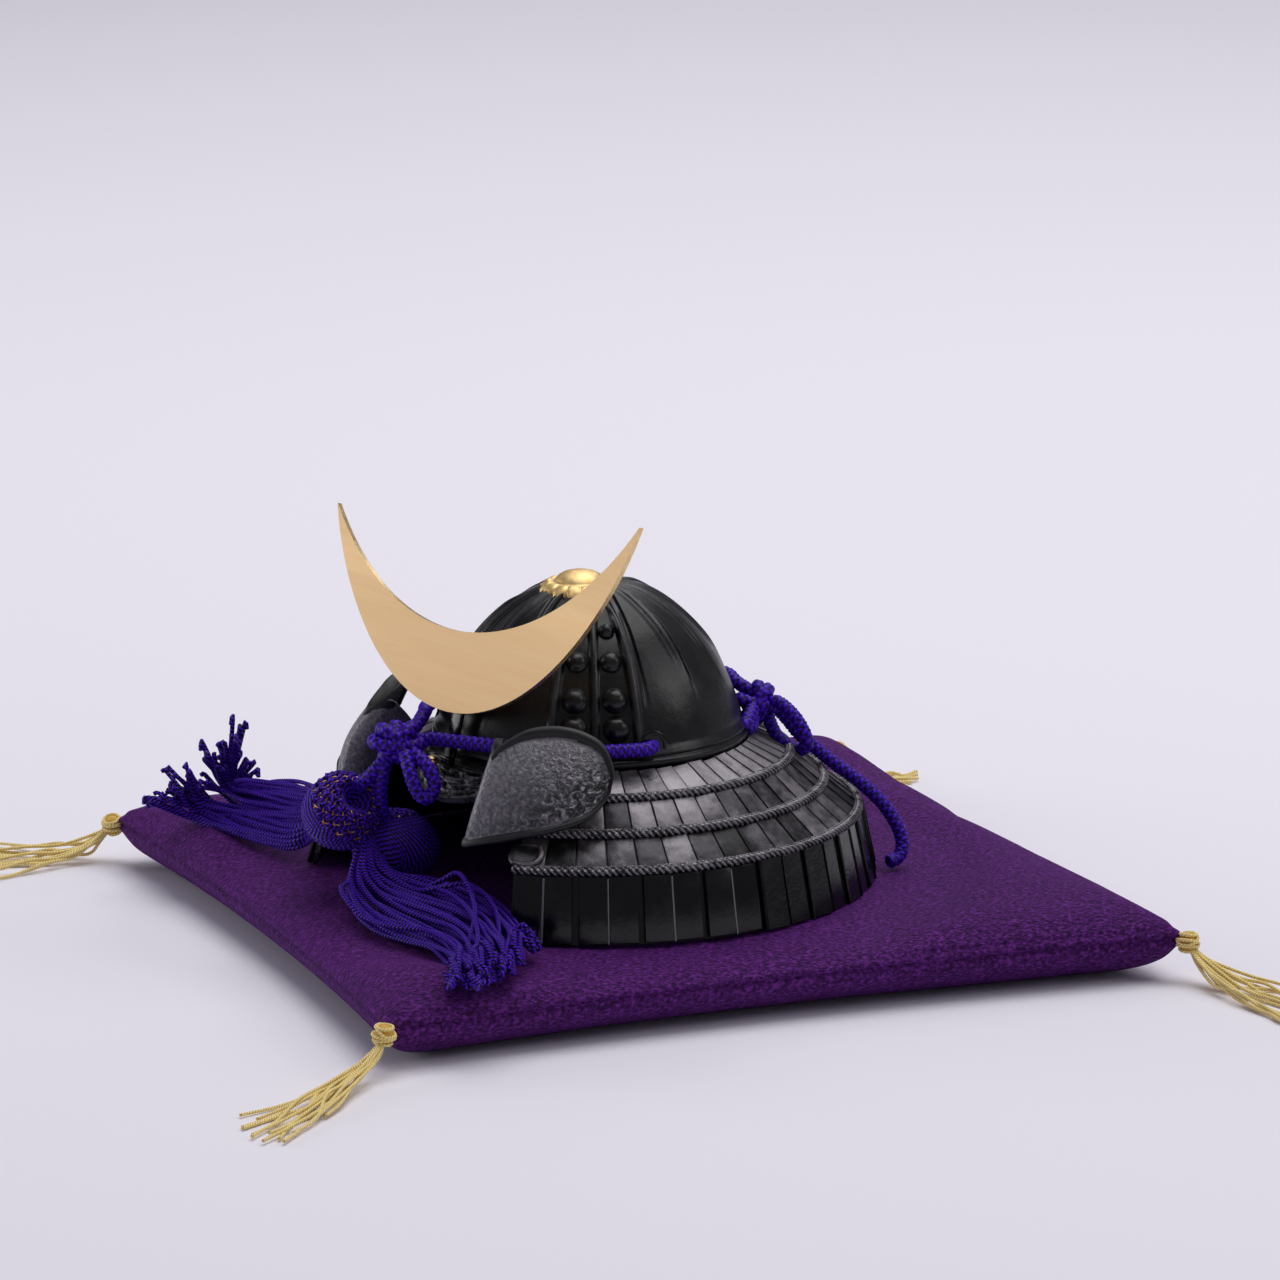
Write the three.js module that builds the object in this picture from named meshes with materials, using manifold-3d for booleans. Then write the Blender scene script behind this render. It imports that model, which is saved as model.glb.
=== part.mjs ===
// Miniature cast-iron kabuto helmet with a crescent crest, resting on a square crepe cushion.
// Millimetres, +Z up. The helmet's axis is x = y = 0 and its front looks along -Y,
// so +X is the wearer's left. z = 0 is the surface that the cushion stands on.

import * as THREE from 'three';
import { mergeVertices } from 'three/addons/utils/BufferGeometryUtils.js';
import Module from 'manifold-3d';

const wasm = await Module();
wasm.setup();

const pieceGap = 0.3;

// Cushion
const cushionSide = 240;
const cushionTop = 20;
const crownSwell = 4;
const dentRadius = 103;
const dentSlope = 18;
const seamHeight = 12.3;
const seamBand = 1.2;
const sidePull = 5;
const cushionCentre = { x: -9.4, y: 20.9 };
const cushionTurn = -13;
const cushionCells = 14;
const cushionSquareness = 8;
const undersideFullness = 1.15;

// Bowl of the helmet, heights above the neck guard's lower edge
const bowlRadius = 44.2;
const rimHeight = 42;
const bowlRise = 44.8;
const bowlWall = 3;
const bowlFullness = 1.52;
const bowlRoundness = 0.479;
const flangeReach = 1.4;
const flangeDrop = 1;
const flangeHeight = 2.2;
const ribHeight = 0.8;
const panelAzimuth = 57;
const panelHalfAngle = 17;
const rivetRadius = 3.4;
const rivetProud = 2.6;
const bowlSides = 30;
const bowlRings = 9;
const cordHoleRadius = 4;
const sideHoleAzimuth = 79;
const sideHoleHeight = rimHeight + 4.5;
const backHoleAzimuth = 176;
const backHoleHeight = rimHeight + 11.5;
const cordHoleDepth = 20;

// Crown ornament
const crownRadius = 12.6;
const crownDomeRadius = 7.2;
const crownTop = rimHeight + bowlRise + 2.5;
const crownForward = 3.5;
const crownDepth = 9;
const petalRimDrop = 4.4;
const petalTopDrop = 2.2;
const petalCount = 16;
const petalDepth = 0.7;

// Crescent crest and its post
const crestOuterRadius = 77;
const crestInnerRadius = crestOuterRadius * 1.2714;
const crestCentreShift = crestOuterRadius * 0.5558;
const crestThickness = 1.4;
const crestLean = 15;
const crestRoll = 6.8;
const crestFoot = { x: 1.3, y: -bowlRadius - 1.8, z: rimHeight + 12.4 };
const crestBow = 1.25;
const crestBowWaves = 3.6;
const postWidth = 5;
const postThickness = 1.2;
const postLength = 20;
const postOverlap = 5;
const pinRadius = 1.9;
const pinOffset = { x: -5.5, y: crestFoot.y - 5.3 };

// Visor
const visorHalfAngle = 34;
const visorReach = 9.6;
const visorDrop = 10.8;
const visorWall = 2;

// Neck guard
const guardRadius = 82;
const guardWall = 2.4;
const guardOpenHalfAngle = 39;
const guardPlates = 43;
const ropeProud = 1.2;
const ropeHeight = 2;
const plateUpright = 0.74;

// Turned-back flaps
const flapWall = 2;
const flapRim = 1.3;

// Cords and tassels
const cordDiameter = 4.2;
const frontHeadRadius = 11.6;
const sideHeadRadius = 10.2;
const frontKnotRadius = 6.4;
const backKnotRadius = 5.6;
const lockWidth = 6.6;
const goldThreadWidth = 3;
const goldKnotRadius = 3.4;

// Slivers thinner than this are merged away where parts of one piece join
const mergeTolerance = 0.06;

const helmetBase = cushionTop + pieceGap;
const rad = THREE.MathUtils.degToRad;
const lerp = THREE.MathUtils.lerp;
const smooth = THREE.MathUtils.smoothstep;

const castIron = { color: 0x1b1b1f, roughness: 0.45, metalness: 0.7 };
const agedIron = { color: 0x2a2a2e, roughness: 0.5, metalness: 0.7 };
const brushedGold = { color: 0xc9a469, roughness: 0.35, metalness: 1 };
const giltMetal = { color: 0xd9b15a, roughness: 0.3, metalness: 1 };
const violetBraid = { color: 0x3a14a8, roughness: 0.7, metalness: 0 };
const violetThread = { color: 0x32109a, roughness: 0.75, metalness: 0 };
const purpleCrepe = { color: 0x4d1668, roughness: 0.85, metalness: 0 };
const goldThread = { color: 0xd8b24a, roughness: 0.55, metalness: 0.2 };

const row = new THREE.Group();
const cushionGroup = new THREE.Group();
const helmet = new THREE.Group();
cushionGroup.position.set(cushionCentre.x, cushionCentre.y, 0);
cushionGroup.rotation.z = rad(cushionTurn);
helmet.position.z = helmetBase;
row.add(cushionGroup, helmet);

function addPiece(parent, name, geometry, finish) {
  const mesh = new THREE.Mesh(geometry, new THREE.MeshStandardMaterial(finish));
  mesh.name = name;
  parent.add(mesh);
  return mesh;
}

// A point from its angle off the front, its distance from the axis and its height.
function polar(azimuth, radius, height) {
  return new THREE.Vector3(radius * Math.sin(rad(azimuth)), -radius * Math.cos(rad(azimuth)), height);
}

function moveVertices(geometry, place) {
  const position = geometry.getAttribute('position');
  const point = new THREE.Vector3();
  for (let i = 0; i < position.count; i += 1) {
    place(point.fromBufferAttribute(position, i));
    position.setXYZ(i, point.x, point.y, point.z);
  }
  return geometry;
}

function toSolid(geometry) {
  const bare = geometry.clone();
  bare.deleteAttribute('normal');
  bare.deleteAttribute('uv');
  const merged = mergeVertices(bare, 1e-4);
  const vertProperties = new Float32Array(merged.getAttribute('position').array);
  const triVerts = new Uint32Array(merged.getIndex().array);
  return new wasm.Manifold(new wasm.Mesh({ numProp: 3, vertProperties, triVerts }));
}

function toGeometry(solid) {
  const mesh = solid.getMesh();
  const geometry = new THREE.BufferGeometry();
  geometry.setAttribute('position', new THREE.BufferAttribute(new Float32Array(mesh.vertProperties), 3));
  geometry.setIndex(new THREE.BufferAttribute(new Uint32Array(mesh.triVerts), 1));
  return geometry;
}

function joined(geometries) {
  return toGeometry(geometries.map(toSolid).reduce((sum, solid) => sum.add(solid)).simplify(mergeTolerance));
}

// A closed grid shell: place(s, t, side) gives each corner, side 0 below and 1 above.
function gridShell(cellsAlong, cellsAcross, place) {
  const shell = new THREE.BoxGeometry(1, 1, 1, cellsAlong, cellsAcross, 1);
  return moveVertices(shell, (p) => p.copy(place(p.x + 0.5, p.y + 0.5, p.z + 0.5)));
}

// A round tube along chosen points, closed at both ends.
function tube(points, diameter, steps, sides = 8) {
  const section = new THREE.Shape();
  for (let i = 0; i < sides; i += 1) {
    const turn = (2 * Math.PI * i) / sides;
    const x = (diameter / 2) * Math.cos(turn);
    const y = (diameter / 2) * Math.sin(turn);
    if (i === 0) section.moveTo(x, y);
    else section.lineTo(x, y);
  }
  section.closePath();
  const extrudePath = new THREE.CatmullRomCurve3(points);
  return new THREE.ExtrudeGeometry(section, { steps, extrudePath, bevelEnabled: false });
}

// A lock of strands: a tube that is widened and flattened along its length.
function lock(points, width, steps, endShare = 0.6) {
  const path = new THREE.CatmullRomCurve3(points);
  const samples = path.getPoints(60);
  const geometry = tube(points, width, steps, 6);
  return moveVertices(geometry, (p) => {
    let best = 0;
    samples.forEach((sample, i) => {
      if (sample.distanceToSquared(p) < samples[best].distanceToSquared(p)) best = i;
    });
    const share = best / (samples.length - 1);
    p.sub(samples[best]).multiplyScalar(lerp(1, endShare, smooth(share, 0.5, 1))).add(samples[best]);
  });
}

function ball(centre, radius, squash = 1, detail = 10) {
  const sphere = new THREE.SphereGeometry(radius, detail, Math.round(detail * 0.6));
  return sphere.scale(1, 1, squash).translate(centre.x, centre.y, centre.z);
}

function bowlOuter(share) {
  return bowlRadius * (1 - share ** bowlFullness) ** bowlRoundness;
}

function bowlHeight(share) {
  return rimHeight + bowlRise * share;
}

// Cushion: a flat-bottomed square pad whose sides pull in between the corners.
function buildCushion() {
  const half = cushionSide / 2;
  const seat = new THREE.Vector3(-cushionCentre.x, -cushionCentre.y, 0);
  seat.applyAxisAngle(new THREE.Vector3(0, 0, 1), -rad(cushionTurn));
  const inside = (w) => 1 - Math.abs(w) ** cushionSquareness;
  const fullness = (u, v) => Math.sqrt(inside(u) * inside(v));
  const place = (s, t, side) => {
    const u = Math.sin(((s * 2 - 1) * Math.PI) / 2);
    const v = Math.sin(((t * 2 - 1) * Math.PI) / 2);
    const x = half * u - sidePull * u * (1 - v * v);
    const y = half * v - sidePull * v * (1 - u * u);
    const full = fullness(u, v);
    const away = Math.hypot(x - seat.x, y - seat.y);
    const swell = crownSwell * smooth(away, dentRadius, dentRadius + dentSlope);
    const above = seamHeight + lerp(seamBand / 2, cushionTop - seamHeight + swell, full);
    const below = seamHeight - lerp(seamBand / 2, seamHeight, Math.min(1, full * undersideFullness));
    return new THREE.Vector3(x, y, side ? above : below);
  };
  addPiece(cushionGroup, 'cushion', gridShell(cushionCells, cushionCells, place), purpleCrepe);
}

// Corner tassels: a knot at each corner and a few locks that fall to the surface.
// Shares of the half side along the cushion's own axes; lifts are shares of the seam height.
const cornerTassels = [
  { name: 'front', corner: [1, -1], along: [1.06, 1.15, 1.28], across: [-1.06, -1.18, -1.42] },
  { name: 'left', corner: [-1, -1], along: [-1.06, -1.17, -1.32], across: [-1.05, -1.22, -1.36] },
  { name: 'right', corner: [1, 1], along: [1.06, 1.25, 1.42], across: [1.04, 1.11, 1.17] },
  { name: 'back', corner: [-1, 1], along: [-1.08, -1.13, -0.98], across: [1.06, 1.16, 1.24] },
];
const tasselLift = [0.5, 0.2, 0.13];

function buildCornerTassels() {
  const half = cushionSide / 2;
  for (const tassel of cornerTassels) {
    const out = new THREE.Vector3(tassel.corner[0], tassel.corner[1], 0).normalize();
    const knot = new THREE.Vector3(tassel.corner[0], tassel.corner[1], 0).multiplyScalar(half);
    knot.addScaledVector(out, goldKnotRadius + pieceGap).setZ(seamHeight - 1.5);
    const parts = [ball(knot, goldKnotRadius, 1, 7)];
    for (const spread of [-1, 0, 1]) {
      const points = [knot];
      tassel.along.forEach((along, i) => {
        const side = new THREE.Vector3(-out.y, out.x, 0).multiplyScalar(spread * (i + 1) * 1.9);
        const z = Math.max(seamHeight * tasselLift[i], goldThreadWidth / 2 + 0.1);
        points.push(new THREE.Vector3(along * half, tassel.across[i] * half, z).add(side));
      });
      parts.push(tube(points, goldThreadWidth, 5, 5));
    }
    addPiece(cushionGroup, `corner_tassel_${tassel.name}`, joined(parts), goldThread);
  }
}

// Bowl: a hollow dome with a rim flange, ribbed rivet panels and four cord holes.
function bowlWallShape(grow) {
  const steps = bowlRings;
  const points = [];
  for (let i = steps; i >= 0; i -= 1) {
    const share = Math.sin((i / steps) * (Math.PI / 2));
    const radius = i === steps ? 0 : bowlOuter(share) + grow;
    points.push(new THREE.Vector2(radius, bowlHeight(share) + grow));
  }
  return points;
}

const ribAzimuths = [panelAzimuth - panelHalfAngle, panelAzimuth, panelAzimuth + panelHalfAngle];
const rivetColumns = [panelAzimuth - panelHalfAngle / 2, panelAzimuth + panelHalfAngle / 2];
const rivetShares = [
  { height: 0.27, size: 1 },
  { height: 0.46, size: 0.95 },
  { height: 0.66, size: 0.8 },
  { height: 0.81, size: 0.6 },
];

function ribOn(side, azimuth) {
  const points = [];
  for (const share of [0.09, 0.3, 0.52, 0.72, 0.88]) {
    points.push(polar(side * azimuth, bowlOuter(share) - 0.1, bowlHeight(share)));
  }
  return tube(points, ribHeight * 2, 5, 4);
}

function rivetOn(side, azimuth, rivet) {
  const radius = rivetRadius * rivet.size;
  const foot = polar(side * azimuth, bowlOuter(rivet.height), bowlHeight(rivet.height));
  const slope = (bowlOuter(rivet.height) - bowlOuter(rivet.height + 0.02)) / (bowlRise * 0.02);
  const out = polar(side * azimuth, 1, slope).normalize();
  const head = new THREE.SphereGeometry(radius, 6, 4);
  head.scale(1, 1, rivetProud / rivetRadius);
  head.applyQuaternion(new THREE.Quaternion().setFromUnitVectors(new THREE.Vector3(0, 0, 1), out));
  return head.translate(foot.x, foot.y, foot.z);
}

function cordHole(azimuth, height) {
  const drill = new THREE.CylinderGeometry(cordHoleRadius, cordHoleRadius, cordHoleDepth, 12);
  drill.rotateZ(Math.PI / 2).rotateZ(rad(azimuth - 90));
  const at = polar(azimuth, bowlRadius, height);
  return toSolid(drill.translate(at.x, at.y, at.z));
}

function buildBowl() {
  const footZ = rimHeight - flangeDrop;
  const flangeTop = footZ + flangeHeight;
  const outer = bowlWallShape(0).reverse();
  outer[0].setY(flangeTop + 0.4);
  const flange = [[0, footZ], [bowlRadius + flangeReach, footZ], [bowlRadius + flangeReach, flangeTop]];
  const profile = [...flange.map(([x, y]) => new THREE.Vector2(x, y)), ...outer];
  const dome = new THREE.LatheGeometry(profile, bowlSides).rotateX(Math.PI / 2);
  const inner = bowlWallShape(-bowlWall).reverse();
  const mouth = [0, bowlRadius - bowlWall].map((radius) => new THREE.Vector2(radius, footZ - 1));
  const hollow = new THREE.LatheGeometry([...mouth, ...inner.slice(1)], bowlSides).rotateX(Math.PI / 2);
  let solid = toSolid(dome);
  for (const side of [-1, 1]) {
    for (const azimuth of ribAzimuths) solid = solid.add(toSolid(ribOn(side, azimuth)));
    for (const azimuth of rivetColumns) {
      for (const rivet of rivetShares) solid = solid.add(toSolid(rivetOn(side, azimuth, rivet)));
    }
  }
  solid = solid.subtract(toSolid(hollow));
  for (const side of [-1, 1]) solid = solid.subtract(cordHole(side * sideHoleAzimuth, sideHoleHeight));
  solid = solid.subtract(cordHole(backHoleAzimuth, backHoleHeight));
  addPiece(helmet, 'bowl', toGeometry(solid), castIron);
}

// Crown ornament: a low dome in a ring of petals, cut to sit on the bowl.
function buildCrownOrnament() {
  const foot = crownTop - crownDepth;
  const rim = crownTop - petalRimDrop;
  const profile = [
    new THREE.Vector2(0, foot),
    new THREE.Vector2(crownRadius, foot),
    new THREE.Vector2(crownRadius, rim),
    new THREE.Vector2(crownDomeRadius, crownTop - petalTopDrop),
    new THREE.Vector2(crownDomeRadius * 0.7, crownTop - petalTopDrop * 0.3),
    new THREE.Vector2(0, crownTop),
  ];
  const disc = new THREE.LatheGeometry(profile, petalCount * 2).rotateX(Math.PI / 2);
  moveVertices(disc, (p) => {
    const reach = Math.hypot(p.x, p.y);
    if (reach < crownRadius * 0.9) return;
    const notch = petalDepth * (1 - Math.cos(petalCount * Math.atan2(p.y, p.x)));
    p.x *= 1 - notch / reach;
    p.y *= 1 - notch / reach;
  });
  disc.translate(0, -crownForward, 0);
  const over = bowlWallShape(pieceGap);
  over.push(new THREE.Vector2(0, rimHeight));
  const bowlOver = new THREE.LatheGeometry(over.reverse(), bowlSides).rotateX(Math.PI / 2);
  addPiece(helmet, 'crown_ornament', toGeometry(toSolid(disc).subtract(toSolid(bowlOver))), giltMetal);
}

// Crest: a flat crescent between two arcs, leaning back and rolled a little to one side.
function crescentShape() {
  const overlap = crestOuterRadius ** 2 - crestInnerRadius ** 2 + crestCentreShift ** 2;
  const tipDrop = overlap / (2 * crestCentreShift);
  const outerEnd = Math.acos(-tipDrop / crestOuterRadius);
  const innerEnd = Math.acos((crestCentreShift - tipDrop) / crestInnerRadius);
  const shape = new THREE.Shape();
  const steps = 28;
  for (let i = 0; i <= steps; i += 1) {
    const turn = lerp(-outerEnd, outerEnd, i / steps);
    const bow = crestBow * (Math.cos(crestBowWaves * turn) - Math.cos(crestBowWaves * outerEnd));
    const radius = crestOuterRadius + bow;
    const x = radius * Math.sin(turn);
    const y = crestOuterRadius - radius * Math.cos(turn);
    if (i === 0) shape.moveTo(x, y);
    else shape.lineTo(x, y);
  }
  for (let i = 1; i < steps; i += 1) {
    const turn = lerp(innerEnd, -innerEnd, i / steps);
    const y = crestOuterRadius + crestCentreShift - crestInnerRadius * Math.cos(turn);
    shape.lineTo(crestInnerRadius * Math.sin(turn), y);
  }
  shape.closePath();
  return shape;
}

function buildCrest() {
  const plate = new THREE.ExtrudeGeometry(crescentShape(), { depth: crestThickness, bevelEnabled: false });
  const crest = addPiece(helmet, 'crest', plate, brushedGold);
  crest.position.set(crestFoot.x, crestFoot.y, crestFoot.z);
  crest.rotation.set(Math.PI / 2 - rad(crestLean), 0, rad(crestRoll));
}

// Post: a gilt strip behind the crest, with a foot and a pin that stands on the visor.
function buildCrestPost() {
  const post = new THREE.BoxGeometry(postWidth, postLength, postThickness);
  post.translate(0, postOverlap - postLength / 2, -postThickness / 2 - pieceGap);
  post.rotateX(Math.PI / 2 - rad(crestLean)).translate(0, crestFoot.y, crestFoot.z);
  const pinTop = crestFoot.z - (postLength - postOverlap) * Math.cos(rad(crestLean)) + 0.4;
  const pinReach = Math.hypot(pinOffset.x, pinOffset.y) - pinRadius;
  const pinFoot = visorTop(Math.atan2(pinOffset.x, -pinOffset.y), pinReach);
  const pin = new THREE.CylinderGeometry(pinRadius, pinRadius, pinTop - pinFoot - pieceGap, 10);
  pin.rotateX(Math.PI / 2).translate(pinOffset.x, pinOffset.y, (pinTop + pinFoot + pieceGap) / 2);
  const arm = new THREE.BoxGeometry(postWidth - pinOffset.x, pinRadius * 1.4, 2);
  arm.translate(pinOffset.x / 2, pinOffset.y + pinRadius * 0.8, pinTop - 0.6);
  addPiece(helmet, 'crest_post', joined([post, arm, pin]), giltMetal);
}

// Visor: a brim that springs from under the bowl's flange and droops at the middle.
function visorSwell(azimuth) {
  return lerp(0.25, 1, Math.cos((azimuth / visorHalfAngle) * (Math.PI / 2)));
}

function visorTop(turn, radius) {
  const swell = visorSwell(THREE.MathUtils.radToDeg(turn));
  const share = ((radius - bowlRadius) / (visorReach * swell)) ** (1.1 / 0.9);
  return rimHeight - flangeDrop - pieceGap - visorDrop * swell * share;
}

function buildVisor() {
  const place = (s, t, side) => {
    const azimuth = (s * 2 - 1) * visorHalfAngle;
    const radius = bowlRadius + visorReach * visorSwell(azimuth) * t ** 0.9;
    const height = visorTop(rad(azimuth), radius);
    return polar(azimuth, radius - (side ? 0 : visorWall * 0.7), height - (side ? 0 : visorWall * 0.8));
  };
  const shell = gridShell(12, 4, (s, t, side) => place(1 - s, t, side));
  addPiece(helmet, 'visor', shell, castIron);
}

// Neck guard: four rows of upright plates. Shares of the guard's radius and the rim's height.
const guardLine = [
  { radius: 0.562, height: 0.972 },
  { radius: 0.713, height: 0.833 },
  { radius: 0.829, height: 0.643 },
  { radius: 0.951, height: 0.452 },
  { radius: 1, height: 0 },
];

function guardRowSection(index) {
  const at = (i) => new THREE.Vector2(guardLine[i].radius * guardRadius, guardLine[i].height * rimHeight);
  const top = at(index);
  const foot = at(index + 1);
  const slope = foot.clone().sub(top).normalize();
  const out = new THREE.Vector2(-slope.y, slope.x);
  const start = top.clone().addScaledVector(slope, pieceGap * 0.6);
  const end = foot.clone().addScaledVector(slope, index < 3 ? -pieceGap * 0.6 : 0);
  const inset = index === 3 ? guardWall * 0.5 : guardWall * 0.12;
  const points = [start, start.clone().lerp(end, plateUpright)];
  if (index < 3) {
    points.push(end.clone().addScaledVector(slope, -ropeHeight).addScaledVector(out, ropeProud));
    points.push(end.clone().addScaledVector(slope, -0.3).addScaledVector(out, ropeProud * 0.8));
  }
  points.push(end);
  const footInset = index < 3 ? inset * 4 : 0;
  points.push(end.clone().addScaledVector(out, -guardWall).addScaledVector(slope, -footInset));
  points.push(start.clone().addScaledVector(out, -guardWall).addScaledVector(slope, inset));
  if (index === 3) points[points.length - 2].setY(0);
  return points;
}

function buildNeckGuard() {
  const span = 360 - guardOpenHalfAngle * 2;
  for (let index = 0; index < 4; index += 1) {
    const section = new THREE.Shape(guardRowSection(index));
    const slab = new THREE.ExtrudeGeometry(section, { depth: 1, steps: guardPlates, bevelEnabled: false });
    moveVertices(slab, (p) => p.copy(polar(guardOpenHalfAngle + span * (1 - p.z), p.x, p.y)));
    addPiece(helmet, `neck_row_${index + 1}`, slab, agedIron);
  }
}

// Turned-back flaps, one section a row: from the guard's front end, round the bend, and back.
const flapSections = [
  { low: [0.43, -0.556, 0.79], high: [0.363, -0.469, 0.93], bulge: 0 },
  { low: [0.415, -0.634, 0.69], high: [0.354, -0.53, 1.1], bulge: 0.01 },
  { low: [0.378, -0.732, 0.607], high: [0.341, -0.604, 1.238], bulge: 0.03 },
  { low: [0.366, -0.799, 0.557], high: [0.36, -0.64, 1.298], bulge: 0.055 },
  { low: [0.451, -0.762, 0.598], high: [0.409, -0.579, 1.333], bulge: 0.055 },
  { low: [0.537, -0.691, 0.643], high: [0.451, -0.518, 1.357], bulge: 0.05 },
  { low: [0.616, -0.63, 0.686], high: [0.498, -0.459, 1.357], bulge: 0.045 },
  { low: [0.674, -0.546, 0.74], high: [0.555, -0.402, 1.321], bulge: 0.035 },
  { low: [0.698, -0.476, 0.802], high: [0.61, -0.366, 1.25], bulge: 0.02 },
  { low: [0.69, -0.41, 0.917], high: [0.649, -0.354, 1.107], bulge: 0.005 },
];
const flapBendIndex = 3;

function flapPoint(side, s, t) {
  const last = flapSections.length - 1;
  const at = Math.min(last - 1, Math.floor(s * last));
  const share = s * last - at;
  const mix = (key, axis) => lerp(flapSections[at][key][axis], flapSections[at + 1][key][axis], share);
  const point = [0, 1, 2].map((axis) => lerp(mix('low', axis), mix('high', axis), t));
  const bulge = lerp(flapSections[at].bulge, flapSections[at + 1].bulge, share) * Math.sin(t * Math.PI);
  const x = (point[0] + bulge * 0.7) * guardRadius;
  const y = (point[1] - bulge * 0.7) * guardRadius;
  return new THREE.Vector3(side * x, y, point[2] * rimHeight);
}

function buildTurnBacks() {
  const sections = flapSections.length - 1;
  for (const [name, side] of [['left', 1], ['right', -1]]) {
    const place = (s, t, over) => {
      const at = flapPoint(side, s, t);
      const along = flapPoint(side, Math.min(1, s + 0.02), t).sub(flapPoint(side, Math.max(0, s - 0.02), t));
      const up = flapPoint(side, s, Math.min(1, t + 0.02)).sub(flapPoint(side, s, Math.max(0, t - 0.02)));
      const normal = along.cross(up).normalize().multiplyScalar(side);
      const onRim = s * sections >= flapBendIndex && (t < 0.01 || t > 0.99 || s > 0.99);
      const lift = flapWall / 2 + (onRim ? flapRim / 2 : 0);
      return at.addScaledVector(normal, over ? lift : -lift);
    };
    const shell = gridShell(sections, 6, (s, t, over) => place(side > 0 ? s : 1 - s, t, over));
    addPiece(helmet, `turn_back_${name}`, shell, castIron);
  }
}

// Cords: routes of chosen points, in the helmet's own heights (azimuth, distance, height).
const leftCordRoute = [
  [79, 43.5, 46.5], [76.4, 45.9, 46.6], [73.6, 47, 46.7], [66, 47.4, 46.8], [57, 47.6, 46.8],
  [45, 47.4, 46.8], [30, 47.2, 46.6], [15, 47.7, 46.3], [4, 50.4, 46.1], [-4.3, 54.4, 45.7],
];
const rightCordRoute = [
  [-79, 43.5, 46.5], [-76.4, 45.9, 46.6], [-73.6, 47, 46.7], [-66, 47.4, 46.8], [-57, 47.6, 46.8],
  [-45, 47.4, 47.2], [-33, 47.4, 48.6], [-22, 48.4, 50], [-16, 50.8, 50.2], [-13.3, 53, 49.6],
];
const frontDropRoute = [[-13.6, 59.6, 39.4], [-14.4, 60, 34], [-14.4, 60.2, 29], [-14, 60, 24.3]];
const sideDropRoute = [[-17, 63.8, 42.1], [-18, 69, 39.5], [-17.6, 72.5, 37.2], [-17, 75.5, 35.4]];
const backCordRoute = [
  [176, 42, 53.5], [173, 43.9, 53.9], [169, 43.9, 54.4], [163, 43.5, 54.6], [158.6, 46.2, 53.4],
  [156.6, 49.7, 50.9],
];
const backTailRoute = [
  [157.4, 58.4, 41.3], [156.8, 61, 37.7], [155, 66, 33.3], [153, 71.5, 29], [151, 78.5, 24],
  [149.5, 84.6, 18.4], [148.2, 88.6, 12.6], [147, 90.4, 7.4], [145.6, 89.4, 3.6], [144, 86.4, 2.5],
];

function cordPiece(name, route, steps) {
  const points = route.map(([azimuth, distance, height]) => polar(azimuth, distance, height));
  addPiece(helmet, name, tube(points, cordDiameter, steps), violetBraid);
}

function buildCords() {
  cordPiece('front_cord_left', leftCordRoute, 12);
  cordPiece('front_cord_right', rightCordRoute, 12);
  cordPiece('drop_cord_front', frontDropRoute, 3);
  cordPiece('drop_cord_side', sideDropRoute, 3);
  cordPiece('back_cord', backCordRoute, 5);
  cordPiece('back_tail', backTailRoute, 8);
}

// Bows: a lump of a knot with two loops of the same cord (azimuth, distance, height).
const bows = [
  {
    name: 'front_bow',
    knot: [-10, 58.8, 45.4],
    radius: frontKnotRadius,
    squash: 0.85,
    loops: [
      [
        [-9, 60, 44], [-2, 61, 41], [4, 62.5, 36.5], [8.5, 63.5, 31.5],
        [5, 63, 28.5], [0, 62, 31], [-5, 61, 37], [-8, 59.5, 43],
      ],
      [[-12, 58, 45], [-18, 59, 47], [-24, 60, 46], [-25, 61, 43], [-18, 60.5, 42], [-12, 58.5, 44]],
    ],
  },
  {
    name: 'back_bow',
    knot: [155, 54.5, 47],
    radius: backKnotRadius,
    squash: 0.9,
    loops: [
      [
        [154, 56, 46], [150, 60, 47.5], [146, 65, 43.5], [144, 68, 37.5],
        [147, 65.5, 34], [150, 60, 37.2], [154, 57, 44],
      ],
      [
        [155, 54, 46], [148, 52.4, 44.8], [142, 51, 43.4], [139.5, 50.4, 42.3],
        [143, 51.8, 41.9], [151, 53, 43.4], [155, 54.5, 46],
      ],
    ],
  },
];

// Each loop is made as two arms, so that its ends can cross at the knot.
function bowArms(points) {
  const ring = points.map(([azimuth, distance, height]) => polar(azimuth, distance, height));
  const middle = Math.ceil(ring.length / 2);
  return [ring.slice(0, middle), ring.slice(middle - 1)].map((arm) => tube(arm, cordDiameter, 3, 6));
}

function buildBows() {
  for (const bow of bows) {
    const knot = ball(polar(...bow.knot), bow.radius, bow.squash);
    addPiece(helmet, bow.name, joined([knot, ...bow.loops.flatMap(bowArms)]), violetBraid);
  }
}

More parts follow.
